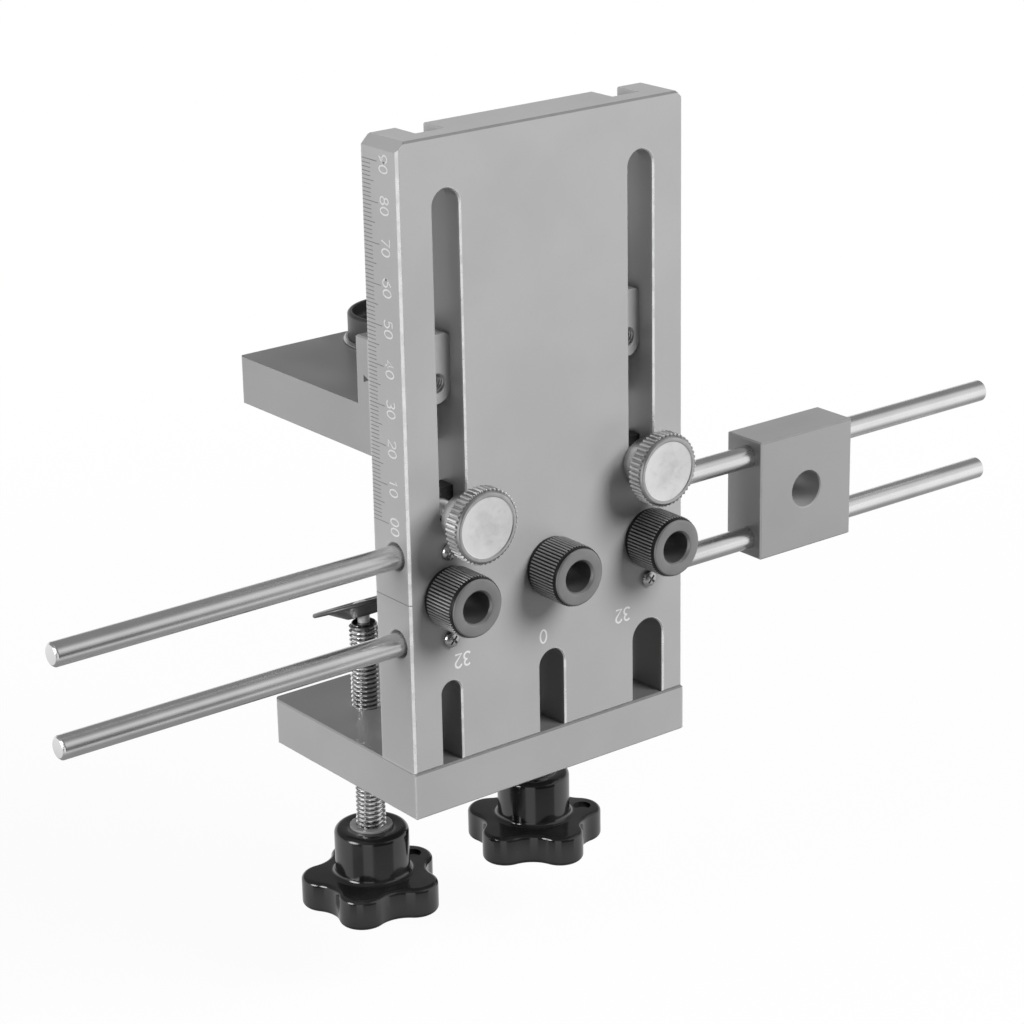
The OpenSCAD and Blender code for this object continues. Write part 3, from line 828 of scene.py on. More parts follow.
@dataclass(frozen=True)
class GroundSteel(Finish):
    """Centreless ground steel rod, with fine scratches along its length."""

    name: str = "ground_steel"
    tone: float = 0.8

    def paint(self, bench: Bench) -> bpy.types.NodeSocket:
        """Lays out the nodes.

        Args:
            bench: Where the nodes are laid out.

        Returns:
            The shader's output.
        """
        streak, long_streak = bench.noise(0.25, 3.0, (120, 1, 1)), bench.noise(0.9, 2.0, (400, 1, 1))
        haze = bench.noise(16, 3.0)
        colour = bench.mottled(haze, self.tone, 0.94, 1.05)
        return bench.shader(
            bench.over(colour, streak.ramp(0.55, 0.8) * 0.3, self.tone * 0.72),
            0.17 + 0.12 * streak + 0.06 * haze,
            bench.relief(streak * 0.7 + long_streak * 0.3, 0.004, 0.6),
            1.0,
        )


@dataclass(frozen=True)
class PlatedSteel(Finish):
    """Nickel-plated steel: bright, with a cloudy mottle, and painted shade in its thread roots, knurl gaps
    and inner corners.
    """

    tone: float
    roughness: float
    root_radius: float = 0.0
    crest_radius: float = 1.0
    root_tone: float = 0.22
    knurl_root: float = 0.0
    metallic: float = 1.0

    def paint(self, bench: Bench) -> bpy.types.NodeSocket:
        """Lays out the nodes.

        Args:
            bench: Where the nodes are laid out.

        Returns:
            The shader's output.
        """
        radius, height, wear = bench.lathe()
        rings = bench.lines(radius + height, 0.22)
        cloud, mottle, fleck = bench.noise(5.5, 4.0), bench.noise(1.6, 4.0), bench.noise(0.35, 3.0)
        colour = bench.mottled(cloud, self.tone, 0.86, 1.06, (0.32, 0.68))
        colour = bench.over(colour, mottle.ramp(0.5, 0.75) * 0.35, self.tone * 0.7)
        if self.root_radius:
            # Painted shade in the thread roots.
            root = radius.ramp(self.crest_radius, self.root_radius)
            colour = bench.over(colour, root * 0.9, self.tone * self.root_tone)
        if self.knurl_root:
            # Painted shade in the gaps between knurl ridges.
            gap = radius.ramp(self.knurl_root + 0.42, self.knurl_root + 0.05)
            gap = gap * radius.ramp(self.knurl_root - 0.2, self.knurl_root - 0.08)
            colour = bench.over(colour, gap * 0.6, self.tone * 0.3)
        # Painted shade in the inner corners.
        colour = bench.over(colour, wear.ramp(-0.3, -1.0) * 0.55, self.tone * 0.25)
        return bench.shader(
            bench.over(colour, wear.ramp(0.3, 1.0) * 0.6, min(0.92, self.tone * 1.2)),
            self.roughness + 0.16 * (mottle - 0.5) + 0.1 * (cloud - 0.5) + 0.05 * rings,
            bench.relief(fleck * 0.35 + mottle * 0.35 + rings * 0.3, 0.01, 0.5),
            self.metallic,
        )


@dataclass(frozen=True)
class BlackOxide(Finish):
    """Blackened screws and nuts, with oily patches and paler scuffs."""

    name: str = "dark_steel"
    tone: float = 0.07

    def paint(self, bench: Bench) -> bpy.types.NodeSocket:
        """Lays out the nodes.

        Args:
            bench: Where the nodes are laid out.

        Returns:
            The shader's output.
        """
        cloud, scuff, grain = bench.noise(2.6, 4.0), bench.noise(0.8, 5.0), bench.noise(0.18, 2.0)
        colour = bench.mottled(cloud, self.tone, 0.7, 1.35)
        return bench.shader(
            bench.over(colour, scuff.ramp(0.6, 0.78) * 0.6, 0.22),
            0.36 + 0.22 * (cloud - 0.5) + 0.1 * (grain - 0.5),
            bench.relief(grain * 0.6 + scuff * 0.4, 0.012, 0.6),
            0.7,
        )


@dataclass(frozen=True)
class BlackSleeve(Finish):
    """Satin black sleeve with fine turning rings and rubbed rims."""

    name: str = "black_sleeve"
    tone: float = 0.045

    def paint(self, bench: Bench) -> bpy.types.NodeSocket:
        """Lays out the nodes.

        Args:
            bench: Where the nodes are laid out.

        Returns:
            The shader's output.
        """
        radius, height, wear = bench.lathe()
        rings = bench.lines(radius + height, 0.2)
        cloud, dust = bench.noise(9, 3.0), bench.noise(0.5, 4.0)
        colour = bench.mottled(cloud, self.tone, 0.8, 1.2)
        colour = bench.over(colour, dust.ramp(0.62, 0.8) * 0.3, self.tone * 3)
        return bench.shader(
            bench.over(colour, wear.ramp(0.3, 1.0) * 0.5, self.tone * 4.5),
            0.4 + 0.12 * (rings - 0.5) + 0.1 * (cloud - 0.5),
            bench.relief(rings * 0.7 + dust * 0.3, 0.008, 0.6),
        )


@dataclass(frozen=True)
class BlackPhenolic(Finish):
    """Glossy black moulded resin with a faint ripple and dull handling marks."""

    name: str = "black_phenolic"
    tone: float = 0.012

    def paint(self, bench: Bench) -> bpy.types.NodeSocket:
        """Lays out the nodes.

        Args:
            bench: Where the nodes are laid out.

        Returns:
            The shader's output.
        """
        ripple, handled, dust = bench.noise(3.4, 2.0), bench.noise(8, 4.0), bench.noise(0.45, 4.0)
        colour = bench.mottled(handled, self.tone, 0.8, 1.5, (0.35, 0.7))
        return bench.shader(
            bench.over(colour, dust.ramp(0.64, 0.8) * 0.25, 0.09),
            0.09 + 0.1 * handled.ramp(0.4, 0.75) + 0.04 * dust,
            bench.relief(ripple, 0.02, 0.4),
            IOR=1.6,
        )


@dataclass(frozen=True)
class Ink(Finish):
    """Ink or paint in fine marks, thin in places."""

    tone: float
    worn: float

    def paint(self, bench: Bench) -> bpy.types.NodeSocket:
        """Lays out the nodes."""
        thin, grain = bench.noise(0.7, 3.0), bench.noise(0.15, 2.0)
        return bench.shader(
            bench.over(grey(self.tone), thin.ramp(0.55, 0.75) * 0.35, self.worn),
            0.5 + 0.2 * (grain - 0.5),
            bench.relief(grain, 0.006, 0.4),
        )


@dataclass(frozen=True)
class Paper(Finish):
    """White floor paper that shows a soft shadow nearby and pure white further off."""

    name: str = "floor_paper"

    def paint(self, bench: Bench) -> bpy.types.NodeSocket:
        """Lays out the nodes. The camera sees mostly plain white, mixed with a little shaded paper.

        Args:
            bench: Where the nodes are laid out.

        Returns:
            The shader's output.
        """
        x, y, _ = bench.place()
        grain = bench.noise(1.5, 3.0)
        colour, relief = bench.over(grey(0.86), grain, 0.9), bench.relief(grain, 0.05, 0.2)
        paper = bench.shader(colour, 0.9, relief, **{"Specular IOR Level": 0.0})
        glow = bench.node("Emission", None, {"Color": grey(1.0), "Strength": 1.0}).outputs[0]
        seen = Signal(bench, bench.node("LightPath").outputs["Is Camera Ray"])
        share = seen * (0.95 + 0.05 * hypotenuse(x, y).ramp(180.0, 620.0))
        return bench.node("MixShader", None, {0: share, 1: paper, 2: glow}).outputs[0]


WHITE_INK = Ink("white_ink", 0.88, 0.6)
SCALE_INK = Ink("scale_ink", 0.2, 0.34)
DARK_INK = Ink("dark_ink", 0.06, 0.14)


# Making pieces of the scene


def mesh_of(name: str, skin: Skin) -> bpy.types.Mesh:
    """Mesh of a skin, in metres.

    Args:
        name: Name of the mesh.
        skin: Its surface, in millimetres.

    Returns:
        The new mesh.
    """
    mesh = bpy.data.meshes.new(name)
    faces = [face for group in skin.faces for face in group.tolist()]
    mesh.from_pydata((skin.points * MM).tolist(), [], faces)
    return mesh


def smooth(mesh: bpy.types.Mesh, crease: float) -> None:
    """Shades a mesh smoothly. Edges that turn by more than the crease, in degrees, stay crisp."""
    mesh.polygons.foreach_set("use_smooth", np.ones(len(mesh.polygons), bool))
    mesh.set_sharp_from_angle(angle=math.radians(crease))


def added(name: str, data: bpy.types.ID) -> bpy.types.Object:
    """Object with the given data, added to the scene.

    Args:
        name: Name of the object.
        data: Its mesh, light or camera.

    Returns:
        The new object.
    """
    made = bpy.data.objects.new(name, data)
    bpy.context.scene.collection.objects.link(made)
    return made


def make_piece(
    name: str,
    skin: Skin,
    body: str,
    finish: Finish,
    node: str | None = None,
    crease: float = 32.0,
) -> bpy.types.Object:
    """Makes one piece of the scene.

    Args:
        name: Name of the piece.
        skin: Its surface.
        body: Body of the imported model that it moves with.
        finish: Its finish.
        node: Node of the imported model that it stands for.
        crease: Edges that turn by more than this many degrees stay crisp.

    Returns:
        The new object.
    """
    mesh = mesh_of(name, skin)
    smooth(mesh, crease)
    held = mesh.attributes.new("lathe", "FLOAT_VECTOR", "POINT")
    held.data.foreach_set("vector", skin.lathe.astype(np.float32).ravel())
    mesh.materials.append(finish.material())
    piece = added(name, mesh)
    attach(piece, body)
    if node:
        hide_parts(node)
    log.info("%s: %d faces on %s", name, len(mesh.polygons), body)
    return piece


def dress(node: str, finish: Finish) -> None:
    """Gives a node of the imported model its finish."""
    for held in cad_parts[node].material_slots:
        held.material = finish.material()
    log.info("%s: finished as %s", node, type(finish).__name__)


def anodise(node: str, name: str, **sizes: object) -> None:
    """Dresses a node in anodised aluminium of the given name and sizes that knows the node's box."""
    low, high = (tuple(v / MM for v in corner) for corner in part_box(node))
    dress(node, AnodisedAluminium(name, low, high, **sizes))


# Numerals

DIGIT_WIDTH = 0.56
DIGIT_PITCH = 0.78
LAYER_STEP = 0.004


def arc(x: float, y: float, wide: float, tall: float, start: float, end: float, count: int = 12) -> Array:
    """Points on an ellipse from one angle in degrees to another."""
    angle = np.radians(np.linspace(start, end, count))
    return np.column_stack([x + wide * np.cos(angle), y + tall * np.sin(angle)])


def digit_strokes(digit: str) -> list[Array]:
    """Pen strokes of a digit.

    Args:
        digit: One of the ten digits.

    Returns:
        Paths of (across, up) in a box DIGIT_WIDTH wide and 1 high.
    """
    stem, bowl = arc(0.6, 0.32, 0.6, 0.62, 140, 178, 6), arc(0.28, 0.3, 0.28, 0.3, 180, 540, 22)
    six = np.vstack([[[0.47, 0.98]], stem, bowl])
    flag, belly = [[0.5, 1.0], [0.1, 1.0], [0.05, 0.55]], arc(0.27, 0.32, 0.29, 0.32, 130, -145, 15)
    paths = {
        "0": [arc(0.28, 0.5, 0.28, 0.5, 90, 450, 26)],
        "1": [np.array([[0.1, 0.78], [0.32, 1.0], [0.32, 0.0]])],
        "2": [np.vstack([arc(0.28, 0.72, 0.27, 0.28, 170, -30, 12), [[0.0, 0.0], [0.56, 0.0]]])],
        "3": [arc(0.27, 0.76, 0.25, 0.24, 150, -90, 12), arc(0.27, 0.27, 0.29, 0.27, 90, -150, 13)],
        "4": [np.array([[0.4, 0.0], [0.4, 1.0], [0.0, 0.3], [0.56, 0.3]])],
        "5": [np.vstack([flag, belly])],
        "6": [six],
        "7": [np.array([[0.0, 1.0], [0.56, 1.0], [0.2, 0.0]])],
        "8": [arc(0.28, 0.77, 0.22, 0.23, -90, 270, 20), arc(0.28, 0.27, 0.28, 0.27, 90, 450, 22)],
        "9": [np.array([DIGIT_WIDTH, 1.0]) - six],
    }
    return paths[digit]


def pen_line(path: Array, seat: Seat, width: float, proud: float) -> Skin:
    """Flat raised line along a path.

    The two edges lie half a width to each side of the path, along the bisector at each corner.

    Args:
        path: Rows of (across, up) in the seat's plane.
        seat: The plane, whose axis points out of the surface.
        width: Width of the line.
        proud: Height above the surface, and depth below it.

    Returns:
        The closed skin.
    """
    steps = np.diff(path, axis=0)
    steps = steps / np.maximum(np.hypot(*steps.T), TINY)[:, None]
    before, after = np.vstack([steps[:1], steps]), np.vstack([steps, steps[-1:]])
    ahead = before + after
    ahead = ahead / np.maximum(np.hypot(*ahead.T), 0.5)[:, None]
    side = np.column_stack([-ahead[:, 1], ahead[:, 0]]) * width / 2
    left, right = path + side, path - side
    across = np.column_stack([left[:, 0], right[:, 0], right[:, 0], left[:, 0]])
    up = np.column_stack([left[:, 1], right[:, 1], right[:, 1], left[:, 1]])
    along = np.broadcast_to(np.array([proud, proud, -proud, -proud]), across.shape)
    points = seat.points(across, up, along).reshape(-1, 3)
    ends = np.array([[0, 1, 2, 3], np.arange(len(points) - 1, len(points) - 5, -1)])
    faces = (grid_faces(len(path), 4, False), ends)
    return Skin(points, faces, np.zeros((len(points), 3))).outward()


def numeral(text: str, seat: Seat, height: float, width: float) -> list[Skin]:
    """Strokes of a number, centred on the seat's origin.

    Args:
        text: The digits.
        seat: The plane, with its across vector along the reading direction.
        height: Height of the digits.
        width: Width of the pen.

    Returns:
        One skin for each stroke.
    """
    middle = (DIGIT_PITCH * (len(text) - 1) + DIGIT_WIDTH) / 2
    return [
        pen_line(
            (path + [k * DIGIT_PITCH - middle, -0.5]) * height, seat, width, INK_PROUD + LAYER_STEP * layer
        )
        for k, digit in enumerate(text)
        for layer, path in enumerate(digit_strokes(digit))
    ]


# The jig's sub-assemblies


@dataclass(frozen=True)
class BodyPlate:
    """Upright plate with its height scale and hole numerals."""

    half_width: float = 44.0
    front: float = -14.0
    front_bevel: float = 0.8
    slot_x: float = 30.0
    slot_radius: float = 4.0
    slot_ends: tuple[float, float] = (21.0, 98.0)
    slot_bevel: float = 0.35
    window_low: float = -60.0
    window_top: float = -23.0
    windows: tuple[tuple[float, float], ...] = ((-32.0, 6.0), (0.0, 8.0), (32.0, 10.0))
    rods: tuple[float, float, float] = (-8.5, 11.5, 3.0)
    scale_zero: float = 19.5
    scale_count: int = 91
    tick_lengths: tuple[float, float, float] = (3.4, 4.7, 6.2)
    tick_width: float = 0.2
    numeral_y: float = -8.7
    numeral_drop: float = 0.3
    numeral_height: float = 3.2
    numeral_pen: float = 0.42
    hole_numerals: tuple[tuple[str, float, float], ...] = (
        ("32", -28.4, -18.1), ("0", -2.8, -18.7), ("32", 23.5, -19.7),
    )
    hole_numeral_height: float = 3.5
    hole_numeral_pen: float = 0.52
    line_width: float = 0.22
    line_depth: float = 0.1
    rear_gap: float = 0.05

    def anodised(self) -> None:
        """Dresses the plate, with painted highlights on its slots' and windows' bevels, and painted shade in
        the windows and round the rod holes.
        """
        ends, bevel, xs = self.slot_ends, self.slot_bevel, (-self.slot_x, self.slot_x)
        slots = tuple(Mouth(x, *ends, self.slot_radius, bevel) for x in xs)
        low, top = self.window_low, self.window_top
        sights = tuple(Mouth(x, low, top - w / 2, w / 2, bevel) for x, w in self.windows)
        # Painted light: a strong painted highlight on the upright front bevels, and painted shade on the top
        # front bevel.
        worn = {"front_rubbed": 1.0, "dark_top": 0.8}
        cuts = {"highlit_mouths": slots + sights, "shaded_mouths": sights, "rods": self.rods}
        anodise("body_plate", "anodised_body", front_bevel=self.front_bevel, **cuts, **worn)

    def ticks(self) -> Skin:
        """Millimetre lines of the scale, from the rear edge of the left side."""
        number = np.arange(self.scale_count)
        short, five, ten = self.tick_lengths
        length = np.where(number % 10 == 0, ten, np.where(number % 5 == 0, five, short))
        z = self.scale_zero + number
        face = np.full(len(z), -self.half_width)
        low = np.column_stack([face - INK_PROUD, -length, z - self.tick_width / 2])
        rear = np.full(len(z), -self.rear_gap)
        high = np.column_stack([face + INK_PROUD, rear, z + self.tick_width / 2])
        return boxes(low, high)

    def scale_numerals(self) -> Skin:
        """Numerals 00 to 90, which read downwards with their tops to the front."""
        strokes: list[Skin] = []
        for number in range(0, self.scale_count, 10):
            z = self.scale_zero + number - self.numeral_drop
            seat = Facing.LEFT_READ_DOWN.at(-self.half_width, self.numeral_y, z)
            strokes += numeral(f"{number:02d}", seat, self.numeral_height, self.numeral_pen)
        return joined(strokes)

    def front_numerals(self) -> Skin:
        """Numerals under the bushes, upside down for someone in front."""
        strokes: list[Skin] = []
        for text, x, z in self.hole_numerals:
            seat = Facing.FRONT_UPSIDE_DOWN.at(x, self.front, z)
            strokes += numeral(text, seat, self.hole_numeral_height, self.hole_numeral_pen)
        return joined(strokes)

    def axis_line(self) -> Skin:
        """Line at the bushes' height across the left side, carried over the front bevel."""
        side, bevel, rear = -self.half_width, self.front_bevel, -self.rear_gap
        out, sunk, half = side - INK_PROUD, side + self.line_depth, self.line_width / 2
        corner, front = self.front + bevel, (self.front - INK_PROUD, self.front + self.line_depth)
        outline = [
            [out, rear], [out, corner], [side + bevel, front[0]],
            [side + bevel, front[1]], [sunk, corner], [sunk, rear],
        ]
        return prism(np.array(outline), Facing.UP.at(0, 0, 0), -half, half)

    def build(self) -> None:
        """Dresses the plate and adds its marks."""
        self.anodised()
        for name, skin, ink in (
            ("height_scale", self.ticks(), SCALE_INK),
            ("height_numerals", self.scale_numerals(), WHITE_INK),
            ("hole_numerals", self.front_numerals(), WHITE_INK),
            ("bush_axis_line", self.axis_line(), SCALE_INK),
        ):
            make_piece(name, skin, "jig_body", ink)


@dataclass(frozen=True)
class BasePlate:
    """Plate under the body, and the screws that hold it."""

    def build(self) -> None:
        """Dresses the plate and its screws."""
        # The base's top bevel and its top under the body get painted shade.
        anodise("base_plate", "anodised_base", tone=0.48, dark_top=0.9, covered=0.8)
        dress("base_fixing_screws", BlackOxide())


@dataclass(frozen=True)
class DrillBush:
    """Knurled steel bush that guides the drill."""

    place: str
    x: float
    front: float = 25.5
    head_from: float = 14.0
    root: float = 7.65
    shank: float = 6.0
    bore: float = 4.0
    edge: float = 0.5
    bore_bevel: float = 0.6
    ridges: int = 56
    ridge_depth: float = 0.35
    plain_end: float = 1.1

    def skin(self) -> Skin:
        """The bush: one closed profile with a knurl on its head."""
        low, front, root, bore = self.head_from, self.front, self.root, self.bore
        start, end = low + self.plain_end, front - self.plain_end
        knurl = Knurl(self.ridges, self.ridge_depth, start, end, root - 0.05)
        corners = [
            (0, bore), (0, self.shank), (low, self.shank), (low, root), *knurl.stations(root),
            (front - self.edge, root), (front, root - self.edge),
            (front, bore + self.bore_bevel), (front - self.bore_bevel, bore),
        ]
        seat = Facing.FRONT.at(self.x, 0, 0)
        return turned(eased(corners, 0.12, True, 3), seat, knurl.angles(), True, knurl)

    def build(self) -> None:
        """Adds the bush in place of its node."""
        tip = self.root + self.ridge_depth - 0.02
        finish = TurnedSteel(
            "bush_steel", tone=0.4, face=0.67, metallic=0.75, roughness=0.36, groove_shade_tone=0.035,
            root_radius=self.root, tip_radius=tip, bore_radius=self.bore,
        )
        name = f"{self.place}_drill_bush"
        make_piece(f"{name}_knurled", self.skin(), f"{self.place}_bush", finish, name)


@dataclass(frozen=True)
class GuideRod:
    """Ground rod through the body, with the two screws that lock it."""

    level: str
    z: float
    y: float = -8.5
    ends: tuple[float, float] = (-140.0, 160.0)
    radius: float = 3.0
    chamfer: float = 0.6
    front: float = -14.0
    screw_x: float = 32.0
    screw_shank: tuple[float, float] = (1.5, 2.4)
    screw_dome: tuple[tuple[float, float], ...] = (
        (0.0, 1.5), (0.79, 1.5), (1.41, 1.395), (1.98, 1.05), (2.2, 0.6),
    )
    recess: CrossRecess = CrossRecess(1.5, 0.85, 1.28, 0.28)

    def rod(self) -> Skin:
        """The rod, with rounded chamfers at its ends."""
        low, high = self.ends
        c, r = self.chamfer, self.radius
        corners = [(low, 0), (low, r - c), (low + c, r), (high - c, r), (high, r - c), (high, 0)]
        seat = Facing.RIGHT.at(0, self.y, self.z)
        return turned(eased(corners, 0.2, False), seat, 96, False)

    def screw(self, x: float) -> Skin:
        """A lock screw: a fine height field over its head, with a crossed recess, and a plain shank.

        Args:
            x: X of the screw's axis.

        Returns:
            The closed skin.
        """
        radii, heights = zip(*self.screw_dome)
        rows = np.linspace(radii[-1], 0.0, 46)
        top = plain_rows(np.interp(rows, radii, heights), rows)
        radius, depth = self.screw_shank
        shank = [[-depth, 0, 0], [-depth, radius, 0], [0, radius, 0], [0, radii[-1], 0]]
        seat = Facing.FRONT.at(x, self.front, self.z)
        return turned(np.vstack([shank, top]), seat, 144, False, self.recess)

    def build(self) -> None:
        """Adds the rod and its lock screws in place of their nodes."""
        body = f"{self.level}_rod"
        make_piece(f"{body}_ground", self.rod(), body, GroundSteel(), f"{self.level}_guide_rod")
        for side in Side:
            name = f"{self.level}_{side.word}_lock"
            finish = PlatedSteel("lock_screw_plating", 0.5, 0.24)
            skin = self.screw(side.value * self.screw_x)
            make_piece(f"{name}_cross_screw", skin, name, finish, f"{name}_screw", CUT_CREASE)


@dataclass(frozen=True)
class IndexBlock:
    """Block with the index hole, on the two rods."""

    def build(self) -> None:
        """Dresses the block."""
        # The block's top front bevel gets painted shade.
        anodise("index_block", "anodised_block", tone=0.4, dark_top=0.5)


@dataclass(frozen=True)
class Fence:
    """Sliding fence with its keys, key screws and pointer."""

    half_width: float = 44.0
    hole_z: float = 52.8
    hole_x: float = 30.0
    key_front: float = 8.4
    hole_radius: float = 2.55
    thread_radius: float = 2.2
    thread_pitch: float = 0.9
    thread_depth: float = 0.42
    thread_start: float = 0.25
    wall_gap: float = 0.01
    pointer_z: float = 54.5
    pointer_length: tuple[float, float] = (0.15, 2.3)
    pointer_half: float = 0.95

    def tapped(self, side: Side) -> Skin:
        """Thread in a key's hole: a thin tube whose inner side carries the helical ridges.

        Args:
            side: The key's side.

        Returns:
            The closed skin.
        """
        start, end = self.thread_start, self.key_front - 0.15
        crest = self.hole_radius - 0.05
        thread = Thread(self.thread_pitch, crest, self.thread_depth, start, end, inner=True)
        inner = plain_rows(thread.heights(9)[::-1], self.thread_radius)
        wall = self.hole_radius - self.wall_gap
        outer = [[start - 0.2, wall, 0], [end + 0.1, wall, 1], [end + 0.05, wall - 0.05, 1]]
        seat = Facing.FRONT.at(side.value * self.hole_x, 0, self.hole_z)
        return turned(np.vstack([outer, inner]), seat, 64, True, thread)

    def pointer(self) -> Skin:
        """Small triangle on the left end of the leg, that points at the scale."""
        tip, base = self.pointer_length
        outline = np.array([[tip, 0.0], [base, self.pointer_half], [base, -self.pointer_half]])
        seat = Facing.LEFT.at(-self.half_width, 0, self.pointer_z)
        return prism(outline, seat, -INK_PROUD, INK_PROUD)

    def build(self) -> None:
        """Dresses the fence, keys and screws, and adds the threads and the pointer."""
        anodise("fence", "anodised_fence", tone=0.41)
        for side in Side:
            node = f"{side.word}_fence_key"
            anodise(node, f"anodised_{node}", bevel=0.15, front_bevel=0.15)
            finish = PlatedSteel("tapped_thread", 0.6, 0.3, 2.5, 2.1)
            make_piece(f"{side.word}_key_thread", self.tapped(side), "fence_slide", finish)
        dress("fence_key_screws", BlackOxide())
        make_piece("fence_pointer", self.pointer(), "fence_slide", DARK_INK)


@dataclass(frozen=True)
class CamBush:
    """Black sleeve on the fence, and the light ring at its foot."""

    x: float = -3.5
    y: float = 42.5
    fence_low: float = 35.0
    fence_top: float = 47.6
    shank: float = 10.0
    head: float = 14.0
    height: float = 8.1
    recess: float = 3.8
    wall: float = 1.3
    bore: float = 7.5
    edge: float = 0.6
    ring: tuple[float, float] = (14.05, 15.25)
    ring_height: float = 1.3
    ring_shoulder: float = 0.585

    def seat(self) -> Seat:
        """Seat on the sleeve's axis."""
        return Facing.UP.at(self.x, self.y, 0)

    def sleeve(self) -> Skin:
        """The sleeve, with its stop recess and bore."""
        top, rim = self.fence_top + self.height, self.head - self.wall
        corners = [
            (self.fence_low, self.bore), (self.fence_low, self.shank), (self.fence_top, self.shank),
            (self.fence_top, self.head), (top - self.edge, self.head), (top, self.head - self.edge),
            (top, rim), (top - self.recess, rim), (top - self.recess, self.bore),
        ]
        return turned(eased(corners, 0.25, True), self.seat(), 160, True)

    def foot_ring(self) -> Skin:
        """The ring, with a sloping shoulder."""
        inner, outer = self.ring
        low, high = self.fence_top, self.fence_top + self.ring_height
        corners = [(low, inner), (low, outer), (low + self.ring_shoulder, outer), (high, outer - self.edge)]
        return turned(eased([*corners, (high, inner)], 0.12, True), self.seat(), 160, True)

    def build(self) -> None:
        """Adds both pieces in place of their nodes."""
        make_piece("cam_bush_sleeve", self.sleeve(), "cam_sleeve", BlackSleeve(), "cam_bush")
        finish = PlatedSteel("ring_plating", 0.7, 0.24)
        name, node = "cam_bush_foot_ring", "cam_bush_ring"
        make_piece(name, self.foot_ring(), "fence_slide", finish, node)


@dataclass(frozen=True)
class ThumbScrew:
    """Knurled thumb screw that clamps through a slot, and its nut in the groove."""

    side: Side
    seat_depth: float
    x: float = 30.0
    z: float = 21.0
    collar: float = 6.5
    collar_length: float = 5.8
    step: float = 0.6
    thickness: float = 4.8
    root: float = 9.15
    edge: float = 0.5
    ridges: int = 46
    ridge_depth: float = 0.55
    dish: tuple[float, float, float] = (1.3, 1.5, 0.1)
    thread_radius: float = 2.5
    thread_length: float = 12.0
    thread_pitch: float = 0.8
    thread_depth: float = 0.42
    thread_chamfer: float = 0.6
    overlap: float = 0.2

    def head(self, seat: Seat) -> Skin:
        """Collar and knurled head, with a shallow dish in its face.

        Args:
            seat: Where the screw sits.

        Returns:
            The closed skin.
        """
        base, neck = self.seat_depth, self.seat_depth + self.collar_length
        front, root, edge = neck + self.thickness, self.root, self.edge
        rim, floor, depth = self.dish
        knurl = Knurl(self.ridges, self.ridge_depth, neck + edge, front - edge, root - 0.05, 0.15)
        corners = [
            (base, 0), (base, self.collar - self.step), (base + self.step, self.collar), (neck, self.collar),
            (neck, root - edge), *knurl.stations(root), (front, root - edge),
            (front, root - rim), (front - depth, root - floor), (front - depth, 0),
        ]
        return turned(eased(corners, 0.12, False, 3), seat, knurl.angles(), False, knurl)

    def shank(self, seat: Seat) -> Skin:
        """Threaded shank, with a chamfered end.

        Args:
            seat: Where the screw sits.

        Returns:
            The closed skin.
        """
        low, high = self.seat_depth - self.thread_length, self.seat_depth + self.overlap
        radius = self.thread_radius
        thread = Thread(self.thread_pitch, radius, self.thread_depth, low + 0.01, self.seat_depth)
        rows = thread.heights(9)
        body = plain_rows(rows, np.minimum(radius, radius - self.thread_chamfer + (rows - low)))
        profile = np.vstack([[[low, 0, 0]], body, [[high, radius, 0], [high, 0, 0]]])
        return turned(profile, seat, 48, False, thread)

    def build(self) -> None:
        """Adds the screw in place of its node, and dresses the nut."""
        seat = Facing.FRONT.at(self.side.value * self.x, 0, self.z)
        name = f"{self.side.word}_thumb"
        finish = PlatedSteel("thumb_screw_plating", 0.86, 0.3, knurl_root=self.root)
        skin = joined([self.head(seat), self.shank(seat)])
        make_piece(f"{name}_screw_knurled", skin, name, finish, f"{name}_screw")
        dress(f"{self.side.word}_slide_nut", BlackOxide())


@dataclass(frozen=True)
class StarShape:
    """Five-lobed outline: lobe ends and valleys are arcs that touch. HALF is half a lobe's angle."""

    circle: float = 12.8
    lobe: float = 6.4
    valley: float = 8.0

    HALF = 36
    LOBE_STEPS = 26
    VALLEY_STEPS = 16

    def ring(self, inset: float) -> Array:
        """Points of the outline drawn in by an inset.

        Each lobe's arc turns about its own centre on the lobes' circle, and each valley's about a centre
        further out, so that the two arcs touch.

        Args:
            inset: How far the outline is drawn in, in millimetres.

        Returns:
            Rows of (across, up), each lobe followed by the valley after it.
        """
        gap = self.circle * math.sin(math.radians(self.HALF))
        reach = self.lobe + self.valley
        lean = 90 - math.degrees(math.acos(gap / reach))
        sweep = self.HALF + lean
        valley_circle = self.circle * math.cos(math.radians(self.HALF)) + math.sqrt(reach**2 - gap**2)
        k = np.arange(5)[:, None]
        swept = 2 * sweep * np.arange(self.LOBE_STEPS + 1) / self.LOBE_STEPS
        out = np.radians(2 * self.HALF * k - sweep + swept)
        step = np.arange(1, self.VALLEY_STEPS) / self.VALLEY_STEPS
        back = np.radians(2 * self.HALF * k + self.HALF + 180 + lean - 2 * lean * step)
        turn, half = np.radians(2 * self.HALF * k), np.radians(2 * self.HALF * k + self.HALF)
        lobes = self.circle * np.exp(1j * turn) + (self.lobe - inset) * np.exp(1j * out)
        valleys = valley_circle * np.exp(1j * half) + (self.valley + inset) * np.exp(1j * back)
        outline = np.concatenate([lobes, valleys], axis=1).ravel()
        return np.column_stack([outline.real, outline.imag])


